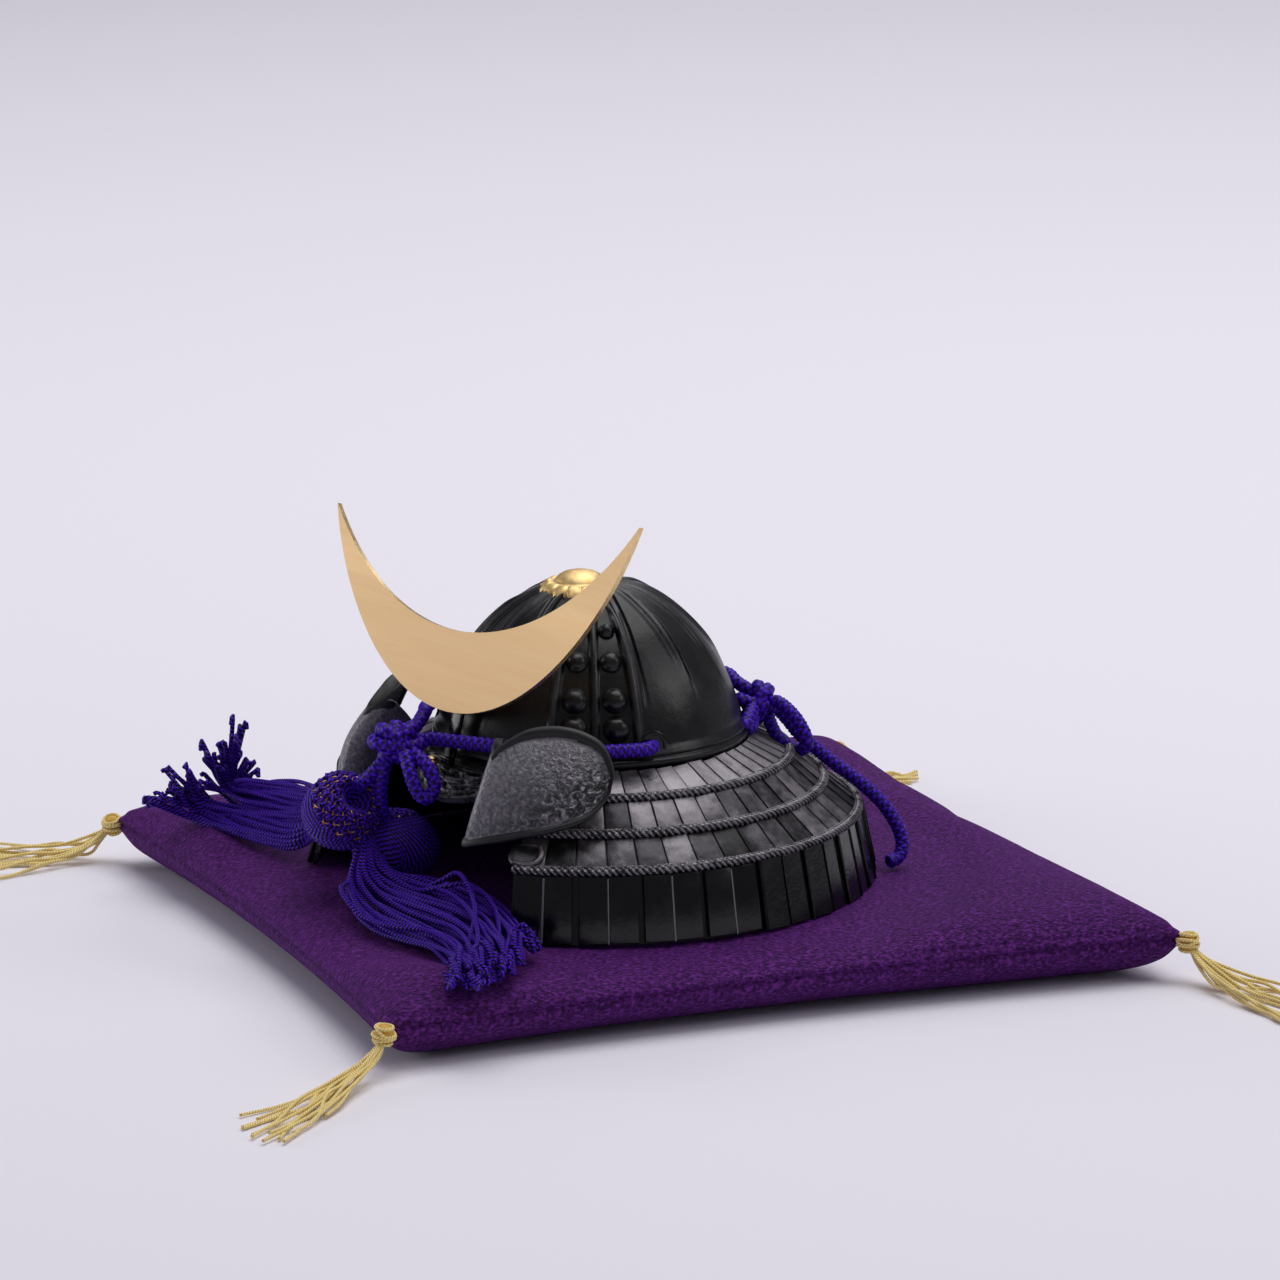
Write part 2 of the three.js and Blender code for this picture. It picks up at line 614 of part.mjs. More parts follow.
// Tassels: a netted head with locks of strands that lie on the cushion.
const tassels = [
  {
    name: 'front',
    head: [-14, -58.6, 12.4],
    radius: frontHeadRadius,
    locks: [
      [[-14, -63, 8], [-8, -75, 6], [0, -82, 5], [22, -90, 4], [48, -94, 3.6], [75, -97, 3.2]],
      [[-13, -61, 9], [-5, -70, 8], [14, -79, 7], [34, -82.6, 6.5], [56, -82, 5.7], [78, -84, 4.5]],
      [[-12, -59, 9], [2, -66, 8], [20, -71, 7], [38, -73.6, 7], [54, -75, 6], [68, -77, 5]],
      [[-10, -57, 8], [6, -61, 6], [26, -65.4, 6], [42, -68.5, 6], [56, -70, 5.5], [70, -69, 4]],
    ],
  },
  {
    name: 'side',
    head: [-22.4, -76.4, 24.4],
    radius: sideHeadRadius,
    locks: [
      [[-25, -78, 20], [-37, -76, 14], [-52, -73, 8], [-72, -68, 5], [-98, -65, 4], [-124, -68, 4]],
      [[-24, -77, 23], [-38, -74, 18], [-54, -70, 13], [-74, -63, 11], [-98, -58.5, 9.5], [-123, -60, 12]],
      [[-25, -75, 21], [-40, -72, 14], [-58, -67, 9], [-80, -58, 8], [-104, -50, 11], [-124, -46, 22]],
    ],
  },
];

function buildTassels() {
  for (const tassel of tassels) {
    const parts = [ball(new THREE.Vector3(...tassel.head), tassel.radius, 1, 10)];
    for (const points of tassel.locks) {
      parts.push(lock(points.map((point) => new THREE.Vector3(...point)), lockWidth, 6));
    }
    addPiece(helmet, `tassel_${tassel.name}`, joined(parts), violetThread);
  }
}

buildCushion();
buildCornerTassels();
buildBowl();
buildCrownOrnament();
buildCrest();
buildCrestPost();
buildVisor();
buildNeckGuard();
buildTurnBacks();
buildCords();
buildBows();
buildTassels();

export default row;
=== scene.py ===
import math
import random

import bmesh
import bpy
from mathutils import Matrix, Vector, noise


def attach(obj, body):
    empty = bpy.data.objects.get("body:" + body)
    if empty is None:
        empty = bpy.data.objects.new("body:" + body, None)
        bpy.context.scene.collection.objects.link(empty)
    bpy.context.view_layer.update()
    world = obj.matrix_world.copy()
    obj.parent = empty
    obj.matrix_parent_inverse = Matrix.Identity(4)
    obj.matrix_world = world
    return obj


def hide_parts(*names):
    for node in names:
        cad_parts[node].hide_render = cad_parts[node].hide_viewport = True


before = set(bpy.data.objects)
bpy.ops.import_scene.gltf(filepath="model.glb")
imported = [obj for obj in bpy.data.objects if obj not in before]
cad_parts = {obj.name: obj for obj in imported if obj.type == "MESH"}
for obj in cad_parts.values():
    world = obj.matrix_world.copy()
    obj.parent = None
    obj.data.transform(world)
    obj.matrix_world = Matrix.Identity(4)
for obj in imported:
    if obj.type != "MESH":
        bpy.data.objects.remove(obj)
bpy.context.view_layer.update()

helmetBase = 20.3  # mm from the floor to the neck guard's lower edge

# Camera, at the photograph's viewing angle (mm and degrees)
bpy.context.scene.view_settings.view_transform = "Standard"
camera = {"place": (1378.7, -959.7, 470.7), "azimuth": 54.67, "elevation": 12.82, "lens": 168.75, "sensor": 36}
photo = {"middle": 640, "focal": 6000}


def makeCamera():
    data = bpy.data.cameras.new("camera")
    data.lens, data.sensor_width = camera["lens"], camera["sensor"]
    data.clip_start, data.clip_end = 0.05, 60
    cam = bpy.data.objects.new("camera", data)
    cam.location = Vector(camera["place"]) / 1000
    cam.rotation_euler = (math.radians(90 - camera["elevation"]), 0, math.radians(camera["azimuth"]))
    bpy.context.collection.objects.link(cam)
    bpy.context.scene.camera = cam


makeCamera()
turn, dip = math.radians(camera["azimuth"]), math.radians(camera["elevation"])
facing = Vector((math.sin(turn), -math.cos(turn), 0))  # level, towards the camera
rightward = Vector((math.cos(turn), math.sin(turn), 0))
onward = (-facing * math.cos(dip) - Vector((0, 0, math.sin(dip)))).normalized()
upward = rightward.cross(onward)


# The point seen at a pixel of the photograph: at a height above the guard's edge, or at a depth towards the camera
def seenAt(x, y, height=None, towards=None):
    start = Vector(camera["place"])
    ray = onward * photo["focal"] + rightward * (x - photo["middle"]) - upward * (y - photo["middle"])
    if height is not None:
        return start + ray * ((height + helmetBase - start.z) / ray.z)
    return start + ray * ((towards - start.dot(facing)) / ray.dot(facing))


# A point from its angle off the helmet's front, its distance from the axis and its height
def polar(azimuth, distance, height):
    angle = math.radians(azimuth)
    return Vector((distance * math.sin(angle), -distance * math.cos(angle), height + helmetBase))


def smoothStep(low, high, value):
    share = min(1, max(0, (value - low) / (high - low)))
    return share * share * (3 - 2 * share)


def mix(a, b, share):
    return a + (b - a) * share


# Materials: nodes are added by one function, colours are sRGB hex
def linear(hexColour):
    channels = [int(hexColour[i:i + 2], 16) / 255 for i in (1, 3, 5)]
    return [c / 12.92 if c <= 0.04045 else ((c + 0.055) / 1.055) ** 2.4 for c in channels] + [1.0]


def addNode(tree, kind, settings=None, links=None):
    node = tree.nodes.new("ShaderNode" + kind)
    for key, value in (settings or {}).items():
        if isinstance(value, str) and value.startswith("#"):
            value = linear(value)
        if key == "stops":
            for i, (place, colour) in enumerate(value):
                stop = node.color_ramp.elements[i] if i < 2 else node.color_ramp.elements.new(place)
                stop.position, stop.color = place, linear(colour)
        elif isinstance(key, int) or key in node.inputs:
            node.inputs[key].default_value = value
        else:
            setattr(node, key, value)
    for key, source in (links or {}).items():  # a node stands for its first output
        socket = source.outputs[0] if isinstance(source, bpy.types.Node) else source
        tree.links.new(socket, node.inputs[key])
    return node


def startMaterial(name):
    material = bpy.data.materials.new(name)
    material.use_nodes = True
    material.node_tree.nodes.clear()
    return material, material.node_tree


def endMaterial(tree, settings, links):
    surface = addNode(tree, "BsdfPrincipled", settings, links)
    addNode(tree, "OutputMaterial", {}, {"Surface": surface})


def addNoise(tree, place, scale, detail, roughness=0.5, distortion=0.0):
    settings = {"Scale": scale, "Detail": detail, "Roughness": roughness, "Distortion": distortion}
    return addNode(tree, "TexNoise", settings, {"Vector": place})


# Iron castings, lacquered satin black: soft grey sheen, mottled where the lacquer has rubbed
def makeIron(name, finish):
    material, tree = startMaterial(name)
    place = addNode(tree, "TexCoord").outputs["Object"]
    mottle = addNoise(tree, place, 1000 / finish["mottle"], 5.0, 0.62)
    grain = addNoise(tree, place, 1000 / finish["grain"], 3.0, 0.6)
    # the tone attribute mixes painted light into the colour: on the bowl, visor and tabs raised parts are painted
    # lighter as highlight and hollows darker as shade; on the plates it holds random plate tone plus each row's painted
    # light
    toneAndPaintedLight = addNode(tree, "Attribute", {"attribute_name": finish.get("mask", "toneAndPaintedLight")})
    share = addNode(tree, "Math", {"operation": "MULTIPLY_ADD", 1: finish["toneShare"]},
                    {0: toneAndPaintedLight.outputs["Fac"], 2: mottle})
    colour = addNode(tree, "ValToRGB", {"stops": finish["stops"]}, {"Fac": share})
    smooth, coarse = finish["rough"]
    span = {"From Min": 0.3, "From Max": 0.7, "To Min": smooth, "To Max": coarse}
    rough = addNode(tree, "MapRange", span, {"Value": mottle})
    relief = addNode(tree, "Bump", {"Strength": finish["relief"], "Distance": finish["depth"] / 1000},
                     {"Height": grain})
    swell = addNode(tree, "Bump", {"Strength": finish["wave"], "Distance": 0.0004},
                    {"Height": mottle, "Normal": relief})
    endMaterial(tree, {"Metallic": finish["metallic"], "Specular IOR Level": 0.5},
                {"Base Color": colour, "Roughness": rough, "Normal": swell})
    return material


ironFinishes = {
    # smooth dome with soft highlights; the casting's grain is 0.5 mm
    "bowl": {"mottle": 12, "grain": 0.5, "toneShare": 0.35, "metallic": 0.35, "rough": (0.24, 0.42), "relief": 0.2,
             "depth": 0.05, "wave": 0.8,
             "stops": [(0.36, "#09090a"), (0.62, "#161518"), (0.95, "#343236")]},
    # plates rubbed bare in patches, lighter or darker from plate to plate at random; each row's painted light also
    # makes the top row lighter and the lower rows darker
    "plates": {"mottle": 4, "grain": 0.6, "toneShare": 0.5, "metallic": 0.7, "rough": (0.3, 0.5), "relief": 0.35,
               "depth": 0.1, "wave": 0.6,
               "stops": [(0.35, "#1b1a1c"), (0.62, "#444146"), (0.95, "#7d787d")]},
    # twisted lacing coloured by the crown of its plies: lighter crowns, partly wear and partly painted highlight, and
    # near black between the plies as painted shade
    "ropes": {"mask": "crown", "mottle": 4, "grain": 0.5, "toneShare": 0.6, "metallic": 0.6, "rough": (0.3, 0.45),
              "relief": 0.3, "depth": 0.06, "wave": 0.3,
              "stops": [(0.42, "#050506"), (0.8, "#232226"), (1.12, "#77737a")]},
    "skirt": {"mottle": 7, "grain": 0.6, "toneShare": 0.2, "metallic": 0.3, "rough": (0.13, 0.27), "relief": 0.2,
              "depth": 0.08, "wave": 0.4,
              "stops": [(0.35, "#040405"), (0.62, "#0a0a0c"), (0.95, "#212024")]},
    # brim left rough from the mould
    "brim": {"mottle": 3, "grain": 1.6, "toneShare": 0.5, "metallic": 0.5, "rough": (0.22, 0.42), "relief": 0.8,
             "depth": 0.5, "wave": 0.6,
             "stops": [(0.35, "#060607"), (0.62, "#17171a"), (0.95, "#7a777d")]},
    "rim": {"mottle": 6, "grain": 0.6, "toneShare": 0.0, "metallic": 0.3, "rough": (0.4, 0.52), "relief": 0.35,
            "depth": 0.08, "wave": 0.3,
            "stops": [(0.3, "#131315"), (0.7, "#252428")]},
}
iron = {name: makeIron("castIron_" + name, finish) for name, finish in ironFinishes.items()}


# Flap face, chased to look like leather: fine grain of 1.1 mm near the bend, folds of 2.3 mm at the outer end
def makeChasedIron():
    material, tree = startMaterial("castIron_chased")
    place = addNode(tree, "TexCoord").outputs["Object"]
    coarseShare = addNode(tree, "Attribute", {"attribute_name": "coarse"})
    fine = addNoise(tree, place, 1000 / 1.1, 2.0, 0.55, 0.4)
    coarse = addNoise(tree, place, 1000 / 2.3, 2.5, 0.5, 1.2)
    height = addNode(tree, "Mix", {"data_type": "FLOAT"}, {0: coarseShare.outputs["Fac"], 2: fine, 3: coarse})
    depth = addNode(tree, "MapRange", {"To Min": 0.22, "To Max": 1.0}, {"Value": coarseShare.outputs["Fac"]})
    # colour follows the grain's height as the bump does: raised grain painted lighter as highlight and hollows darker
    # as shade, faint in the fine grain and strong in the coarse folds
    even = addNode(tree, "ValToRGB", {"stops": [(0.34, "#56545a"), (0.52, "#6f6c74"), (0.74, "#8c8991")]},
                   {"Fac": height})
    broken = addNode(tree, "ValToRGB", {"stops": [(0.4, "#09090b"), (0.52, "#434146"), (0.7, "#9a979e")]},
                     {"Fac": height})
    colour = addNode(tree, "Mix", {"data_type": "RGBA"}, {0: coarseShare.outputs["Fac"], 6: even, 7: broken})
    relief = addNode(tree, "Bump", {"Distance": 0.0017}, {"Height": height, "Strength": depth})
    gloss = addNode(tree, "MapRange", {"To Min": 0.45, "To Max": 0.26}, {"Value": coarseShare.outputs["Fac"]})
    endMaterial(tree, {"Metallic": 0.25}, {"Base Color": colour.outputs[2], "Roughness": gloss, "Normal": relief})
    return material


# Crest face, brass plate brushed from side to side: hairlines drawn 0.4 mm by 55 mm, so that they show
def makeBrushedGold():
    material, tree = startMaterial("brushedBrass")
    place = addNode(tree, "TexCoord").outputs["Object"]
    along = addNode(tree, "Mapping", {"Scale": (18, 18, 2600)}, {"Vector": place})
    hair = addNoise(tree, along, 1.0, 4.0, 0.7)
    bands = addNode(tree, "Mapping", {"Scale": (12, 12, 260)}, {"Vector": place})
    band = addNoise(tree, bands, 1.0, 3.0, 0.6)
    both = addNode(tree, "Math", {"operation": "ADD"}, {0: hair, 1: band})
    spread = addNode(tree, "MapRange", {"From Min": 0.5, "From Max": 1.5}, {"Value": both})
    colour = addNode(tree, "ValToRGB", {"stops": [(0.0, "#c19f72"), (1.0, "#d2b58b")]}, {"Fac": spread})
    rough = addNode(tree, "MapRange", {"To Min": 0.46, "To Max": 0.58}, {"Value": hair})
    relief = addNode(tree, "Bump", {"Strength": 0.12, "Distance": 0.00008}, {"Height": hair})
    endMaterial(tree, {"Metallic": 0.75, "Anisotropic": 0.4},
                {"Base Color": colour, "Roughness": rough, "Normal": relief})
    return material


# Polished or cast gilt brass: warm mirror-like edge, or soft cast ornament
def makeGilt(name, colourStops, roughness, grain):
    material, tree = startMaterial(name)
    place = addNode(tree, "TexCoord").outputs["Object"]
    wear = addNoise(tree, place, 1000 / grain, 4.0)
    colour = addNode(tree, "ValToRGB", {"stops": colourStops}, {"Fac": wear})
    rough = addNode(tree, "MapRange", {"To Min": roughness * 0.8, "To Max": roughness * 1.25}, {"Value": wear})
    relief = addNode(tree, "Bump", {"Strength": 0.25, "Distance": 0.0001}, {"Height": wear})
    endMaterial(tree, {"Metallic": 0.95}, {"Base Color": colour, "Roughness": rough, "Normal": relief})
    return material


# Rayon cord and thread: bright filaments on the crowns of the strands, near black between them; the bright crowns are
# painted highlight and the near black gaps painted shade
def makeThread(name, stops, filament, sheenTint, roughness, twist=None):
    material, tree = startMaterial(name)
    place = addNode(tree, "TexCoord").outputs["Object"]
    crown = addNode(tree, "Attribute", {"attribute_name": "crown"}).outputs["Fac"]
    weave = {}
    if twist:  # plies seen as slanting stripes: UV x is mm along the thread, y the share of a turn round it
        unrolled = addNode(tree, "SeparateXYZ", {}, {0: addNode(tree, "UVMap", {"uv_map": "along"})})
        lag = addNode(tree, "Math", {"operation": "MULTIPLY", 1: twist["plies"] / twist["pitch"]},
                      {0: unrolled.outputs["X"]})
        lead = addNode(tree, "Math", {"operation": "MULTIPLY_ADD", 1: twist["plies"]},
                       {0: unrolled.outputs["Y"], 2: lag})
        wave = addNode(tree, "Math", {"operation": "PINGPONG", 1: 0.5}, {0: lead})
        full = addNode(tree, "Math", {"operation": "MULTIPLY", 1: 2.0}, {0: wave})
        # the ply crowns then drive the colour: lighter on each ply's top as painted highlight, darker in the grooves
        # between plies as painted shade
        crown = addNode(tree, "Math", {"operation": "POWER", 1: 0.95}, {0: full})
        weave["Normal"] = addNode(tree, "Bump", {"Strength": 0.9, "Distance": twist["depth"] / 1000}, {"Height": crown})
    fibre = addNoise(tree, place, 1000 / filament, 3.0, 0.7)
    share = addNode(tree, "Math", {"operation": "MULTIPLY_ADD", 1: 0.3, 2: -0.15}, {0: fibre})
    total = addNode(tree, "Math", {"operation": "ADD"}, {0: crown, 1: share})
    colour = addNode(tree, "ValToRGB", {"stops": stops}, {"Fac": total})
    fine = addNode(tree, "Bump", {"Strength": 0.35, "Distance": 0.0001}, {"Height": fibre, **weave})
    endMaterial(tree, {"Roughness": roughness, "Sheen Weight": 0.06, "Sheen Roughness": 0.4, "Sheen Tint": sheenTint,
                       "Specular IOR Level": 0.16},
                {"Base Color": colour, "Normal": fine})
    return material


# Cushion cover of purple crepe: short wrinkles about 0.6 mm across and 1.4 mm long, that run down over the sides
def makeCrepe():
    material, tree = startMaterial("purpleCrepe")
    place = addNode(tree, "TexCoord").outputs["Object"]
    turned = addNode(tree, "VectorRotate", {"rotation_type": "Z_AXIS", "Angle": math.radians(13)}, {"Vector": place})
    spaced = addNode(tree, "Mapping", {"Scale": (1800, 720, 760)}, {"Vector": turned})
    wrinkle = addNoise(tree, spaced, 1.0, 1.5, 0.5, 0.35)
    fade = addNoise(tree, place, 30.0, 3.0)
    share = addNode(tree, "Math", {"operation": "MULTIPLY_ADD", 1: 0.08}, {0: fade, 2: wrinkle})
    # colour follows the wrinkles' height: ridges painted lighter as highlight and hollows darker as shade, with a slow
    # random fade
    colour = addNode(tree, "ValToRGB", {"stops": [(0.36, "#2c0c39"), (0.54, "#47185c"), (0.74, "#6a2c85")]},
                     {"Fac": share})
    relief = addNode(tree, "Bump", {"Strength": 1.0, "Distance": 0.0008}, {"Height": wrinkle})
    endMaterial(tree, {"Roughness": 0.75, "Sheen Weight": 0.1, "Sheen Roughness": 0.5, "Sheen Tint": "#8f30c0",
                       "Specular IOR Level": 0.1},
                {"Base Color": colour, "Normal": relief})
    return material


chasedIron = makeChasedIron()
brushedBrass = makeBrushedGold()
polishedBrass = makeGilt("polishedBrass", [(0.3, "#dcbc84"), (0.7, "#f3d9a8")], 0.25, 3)
giltCasting = makeGilt("giltCasting", [(0.35, "#dcb674"), (0.65, "#f0d398")], 0.46, 2)
copperThread = makeGilt("copperThread", [(0.35, "#b0703a"), (0.65, "#e0a870")], 0.3, 1)
violetBraid = makeThread("rayonBraid", [(0.2, "#03000f"), (0.6, "#1e045e"), (1.0, "#5416da")], 0.35, "#5a2ad0", 0.42)
violetTwist = makeThread("rayonTwist", [(0.15, "#03000f"), (0.5, "#200566"), (1.0, "#6a22f2")], 0.3, "#5a2ad0", 0.4,
                         {"plies": 2, "pitch": 2.8, "depth": 0.5})
goldTwist = makeThread("goldTwist", [(0.0, "#d2a64e"), (0.35, "#fcdb7e"), (1.0, "#fff6c2")], 0.3, "#fff0c0", 0.45,
                       {"plies": 2, "pitch": 1.8, "depth": 0.22})
purpleCrepe = makeCrepe()
print("stage: materials")


# Every finished piece sits at the origin, with its place in its mesh
def newPiece(name, bm, materials, nodes=(), sharpAngle=None):
    bmesh.ops.recalc_face_normals(bm, faces=bm.faces)
    if sharpAngle:
        for edge in bm.edges:
            edge.smooth = len(edge.link_faces) != 2 or edge.calc_face_angle(0) < math.radians(sharpAngle)
    bmesh.ops.scale(bm, vec=(0.001,) * 3, verts=bm.verts)
    mesh = bpy.data.meshes.new(name)
    bm.to_mesh(mesh)
    bm.free()
    for material in materials:
        mesh.materials.append(material)
    mesh.polygons.foreach_set("use_smooth", [True] * len(mesh.polygons))
    piece = bpy.data.objects.new(name, mesh)
    bpy.context.collection.objects.link(piece)
    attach(piece, "root")
    if nodes:
        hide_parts(*nodes)
    return piece


# Evenly spaced points on one smooth curve through the route
def smoothPath(route, spacing):
    points = [Vector(p) for p in route]
    padded = [points[0] * 2 - points[1]] + points + [points[-1] * 2 - points[-2]]
    dense = []
    for i in range(1, len(padded) - 2):
        a, b, c, d = padded[i - 1:i + 3]
        for k in range(20):
            t = k / 20
            dense.append((b * 2 + (c - a) * t + (a * 2 - b * 5 + c * 4 - d) * t * t
                          + (b * 3 - a - c * 3 + d) * t ** 3) / 2)
    dense.append(points[-1])
    reach = [0.0]
    for a, b in zip(dense, dense[1:]):
        reach.append(reach[-1] + (b - a).length)
    count = max(2, round(reach[-1] / spacing))
    path, at = [], 0
    for k in range(count + 1):
        goal = reach[-1] * k / count
        while at < len(reach) - 2 and reach[at + 1] < goal:
            at += 1
        share = (goal - reach[at]) / max(1e-9, reach[at + 1] - reach[at])
        path.append(dense[at].lerp(dense[at + 1], share))
    return path


def pathLength(path):
    return sum((b - a).length for a, b in zip(path, path[1:]))


# A tube along a path whose radius may change round it and along it; "crown" tells strand tops from the gaps
def sweep(bm, path, sides, radiusAt, low, high):
    crown = bm.verts.layers.float.get("crown") or bm.verts.layers.float.new("crown")
    last = len(path) - 1
    step = pathLength(path) / last
    side = (path[1] - path[0]).orthogonal()
    frames = []
    for i, point in enumerate(path):
        tangent = (path[min(i + 1, last)] - path[max(i - 1, 0)]).normalized()
        side = (side - tangent * side.dot(tangent)).normalized()
        frames.append((point, side, tangent.cross(side)))
    along = bm.loops.layers.uv.get("along") or bm.loops.layers.uv.new("along")
    grid = bmesh.ops.create_grid(bm, x_segments=last, y_segments=sides, size=0.5, calc_uvs=True)
    for loop in {loop for vert in grid["verts"] for loop in vert.link_loops}:
        loop[along].uv = ((loop.vert.co.x + 0.5) * last * step, loop.vert.co.y + 0.5)
    for vert in grid["verts"]:
        i = round((vert.co.x + 0.5) * last)
        angle = 2 * math.pi * (vert.co.y + 0.5)
        radius = radiusAt(i * step, angle)
        point, across, over = frames[i]
        vert[crown] = (radius - low) / (high - low)
        vert.co = point + across * (radius * math.cos(angle)) + over * (radius * math.sin(angle))


# Joins the seams of the tubes added since "known" was taken, and caps their ends
def closeTubes(bm, sides, known=()):
    bmesh.ops.remove_doubles(bm, verts=[v for v in bm.verts if v not in known], dist=0.002)
    bmesh.ops.holes_fill(bm, edges=[e for e in bm.edges if e.is_boundary], sides=sides)


# Faces added since "known" was taken get the second material
def paintNew(bm, known):
    for face in bm.faces:
        face.material_index = 0 if face in known else 1


# A line of points turned once about the z axis; its new verts are returned
def spinLine(bm, points, steps, join=0.001):
    known = set(bm.verts)
    verts = [bm.verts.new(point) for point in points]
    edges = [bm.edges.new(pair) for pair in zip(verts, verts[1:])]
    bmesh.ops.spin(bm, geom=verts + edges, cent=(0, 0, 0), axis=(0, 0, 1), angle=2 * math.pi, steps=steps,
                   use_merge=True)
    bmesh.ops.remove_doubles(bm, verts=[v for v in bm.verts if v not in known], dist=join)
    return [v for v in bm.verts if v not in known]


# A second face behind a sheet, joined to it round the edge; "places" says where each of the sheet's verts lands on it
def thicken(bm, faces, sheet, places):
    def spot(vert):
        return tuple(round(c, 4) for c in vert.co)

    landing = {spot(vert): place for vert, place in zip(sheet, places)}
    copy = bmesh.ops.extrude_face_region(bm, geom=faces)["geom"]
    for vert in copy:
        if isinstance(vert, bmesh.types.BMVert):
            vert.co = landing[spot(vert)]


# Round braid of eight strands, four each way, each over one and under one
braid = {"diameter": 4.2, "pitch": 9.2, "core": 1.42, "middle": 1.3, "lift": 0.24, "thick": 0.56, "halfWidth": 0.74,
         "sides": 24, "spacing": 0.34}


def braidRadius(distance, angle):
    radius = braid["core"]
    quarter = math.pi / 2
    for family in (1, -1):
        wave = family * math.cos(8 * math.pi * distance / braid["pitch"])
        share = (angle - family * 2 * math.pi * distance / braid["pitch"]) / quarter
        off = abs((share + 0.5) % 1 - 0.5) * quarter / braid["halfWidth"]
        if off < 1:
            radius = max(radius, braid["middle"] + braid["lift"] * wave + braid["thick"] * math.sqrt(1 - off * off))
    return radius


def braidedCord(bm, route):
    path = smoothPath(route, braid["spacing"])
    sweep(bm, path, braid["sides"], braidRadius, braid["core"], braid["diameter"] / 2)
    return path


# Thread of twisted plies
def plied(diameter, plies, pitch, depth):
    def radiusAt(distance, angle):
        lobe = abs(math.cos(plies / 2 * angle - math.pi * plies * distance / pitch))
        return diameter / 2 * (1 - depth + depth * lobe)
    return radiusAt


# Thread of one thickness, whose twist is in its material
def addThread(bm, route, thread):
    path = smoothPath(route, thread["spacing"])
    sweep(bm, path, thread["sides"], lambda distance, angle: thread["diameter"] / 2, 0, 1)


# Cords first: each runs from its hole round the bowl, through its bow and on to its end
cordRoutes = {
    "left": [(79, 43.5, 46.5), (76.4, 45.9, 46.6), (73.6, 47, 46.7), (66, 47.4, 46.8), (57, 47.6, 46.8),
             (45, 47.4, 46.8), (30, 47.2, 46.6), (15, 47.7, 46.3), (4, 50.4, 46.1), (-3, 54.4, 45.9)],
    "right": [(-79, 43.5, 46.5), (-76.4, 45.9, 46.6), (-73.6, 47, 46.7), (-66, 47.4, 46.8), (-57, 47.6, 46.8),
              (-45, 47.4, 47.2), (-33, 47.4, 48.6), (-22, 48.4, 50), (-15, 50.8, 50), (-12, 53.4, 48.5)],
    "back": [(176, 42, 53.5), (173, 44.2, 53.6), (169, 44.5, 53.4), (163, 44.4, 52.6), (158.6, 46.4, 51.4),
             (156.6, 49.5, 49.4)],
    "tail": [(156.5, 54, 46.5), (157.4, 58.4, 41.8), (156.8, 61.6, 37.7), (155, 66.4, 33.3), (153, 71.7, 29),
             (151, 78.5, 24), (149.5, 84.6, 18.4), (148.2, 88.6, 12.6), (147, 90.4, 7.4), (145.6, 89.4, 3.6),
             (144, 86.4, 2.5)],
}
leftDrop = [(394, 752, 30), (387, 759, 32), (383, 772, 32), (381, 790, 30), (382, 808, 28), (386, 822, 25)]
rightDrop = [(404, 741, 27), (390, 752, 31), (379, 766, 32), (369, 777, 31), (359, 785, 28), (350, 791, 24)]


def makeCord(name, route, nodes):
    bm = bmesh.new()
    path = braidedCord(bm, route)
    closeTubes(bm, braid["sides"])
    piece = newPiece(name, bm, [violetBraid], nodes)
    print("cord", name, round(pathLength(path), 1), "mm")
    return piece


def seenRoute(points):
    return [seenAt(x, y, towards=depth) for x, y, depth in points]


leftRoute = [polar(*p) for p in cordRoutes["left"]] + seenRoute(leftDrop)
rightRoute = [polar(*p) for p in cordRoutes["right"]] + seenRoute(rightDrop)
backRoute = [polar(*p) for p in cordRoutes["back"] + cordRoutes["tail"]]
print("stage: cord routes")

# Bows: turns of the same cord round the knot, and the loops that hang from it
frontKnot = {"centre": (398, 742, 30), "turns": [(6.6, 4.8, -22, 18), (5.6, 4.4, 30, -12), (3.6, 5.0, 8, 62),
                                                 (6.0, 3.4, -50, 30), (4.2, 4.4, 74, 0)]}
backKnot = {"centre": (154.5, 54.8, 47.4), "turns": [(5.0, 4.2, -30, 20), (4.6, 3.8, 38, -10), (3.4, 4.2, 5, 66),
                                                     (4.6, 3.2, 80, 10)],
            "shift": rightward * -5.6 + Vector((0, 0, 0.2)), "loopRise": 0.8}
frontLoop = [(409, 750, 33), (417, 756, 37.5), (425, 763, 40), (431.5, 773, 41.5), (434.5, 785, 42), (431, 795, 42.4),
             (424, 798, 42.6), (417.5, 792, 42.4), (412.5, 781, 42), (409, 769, 40.5), (406, 757, 37.5), (404, 749, 34)]
backLoops = [
    [(154, 56, 46), (150, 60, 47.5), (146, 65, 43.5), (144, 68, 37.5), (147, 65.5, 34), (150, 60, 37.2), (154, 57, 44)],
    [(155, 54, 47), (148, 52.4, 45.8), (142, 51, 44), (139.5, 50.4, 42.6), (143, 51.8, 41.9), (151, 53, 43.4),
     (155, 54.5, 46)],
]


# Closed turns of the cord round the knot's middle: half width, half height, tilt and yaw
knotRing = {"points": 12, "sweep": 6.6, "depth": 0.8, "lower": 2.6}  # swept in radians, a little past closed


def knotTurns(centre, turns):
    routes = []
    for wide, tall, tilt, yaw in turns:
        swing = Matrix.Rotation(math.radians(yaw), 3, "Z") @ Matrix.Rotation(math.radians(tilt), 3, facing)
        route = []
        for i in range(knotRing["points"] + 1):
            at = i / knotRing["points"] * knotRing["sweep"]
            level = rightward * wide * math.sin(at) - facing * wide * knotRing["depth"] * math.cos(at)
            route.append(centre + swing @ (level + Vector((0, 0, (tall - knotRing["lower"]) * math.sin(at)))))
        routes.append(route)
    return routes


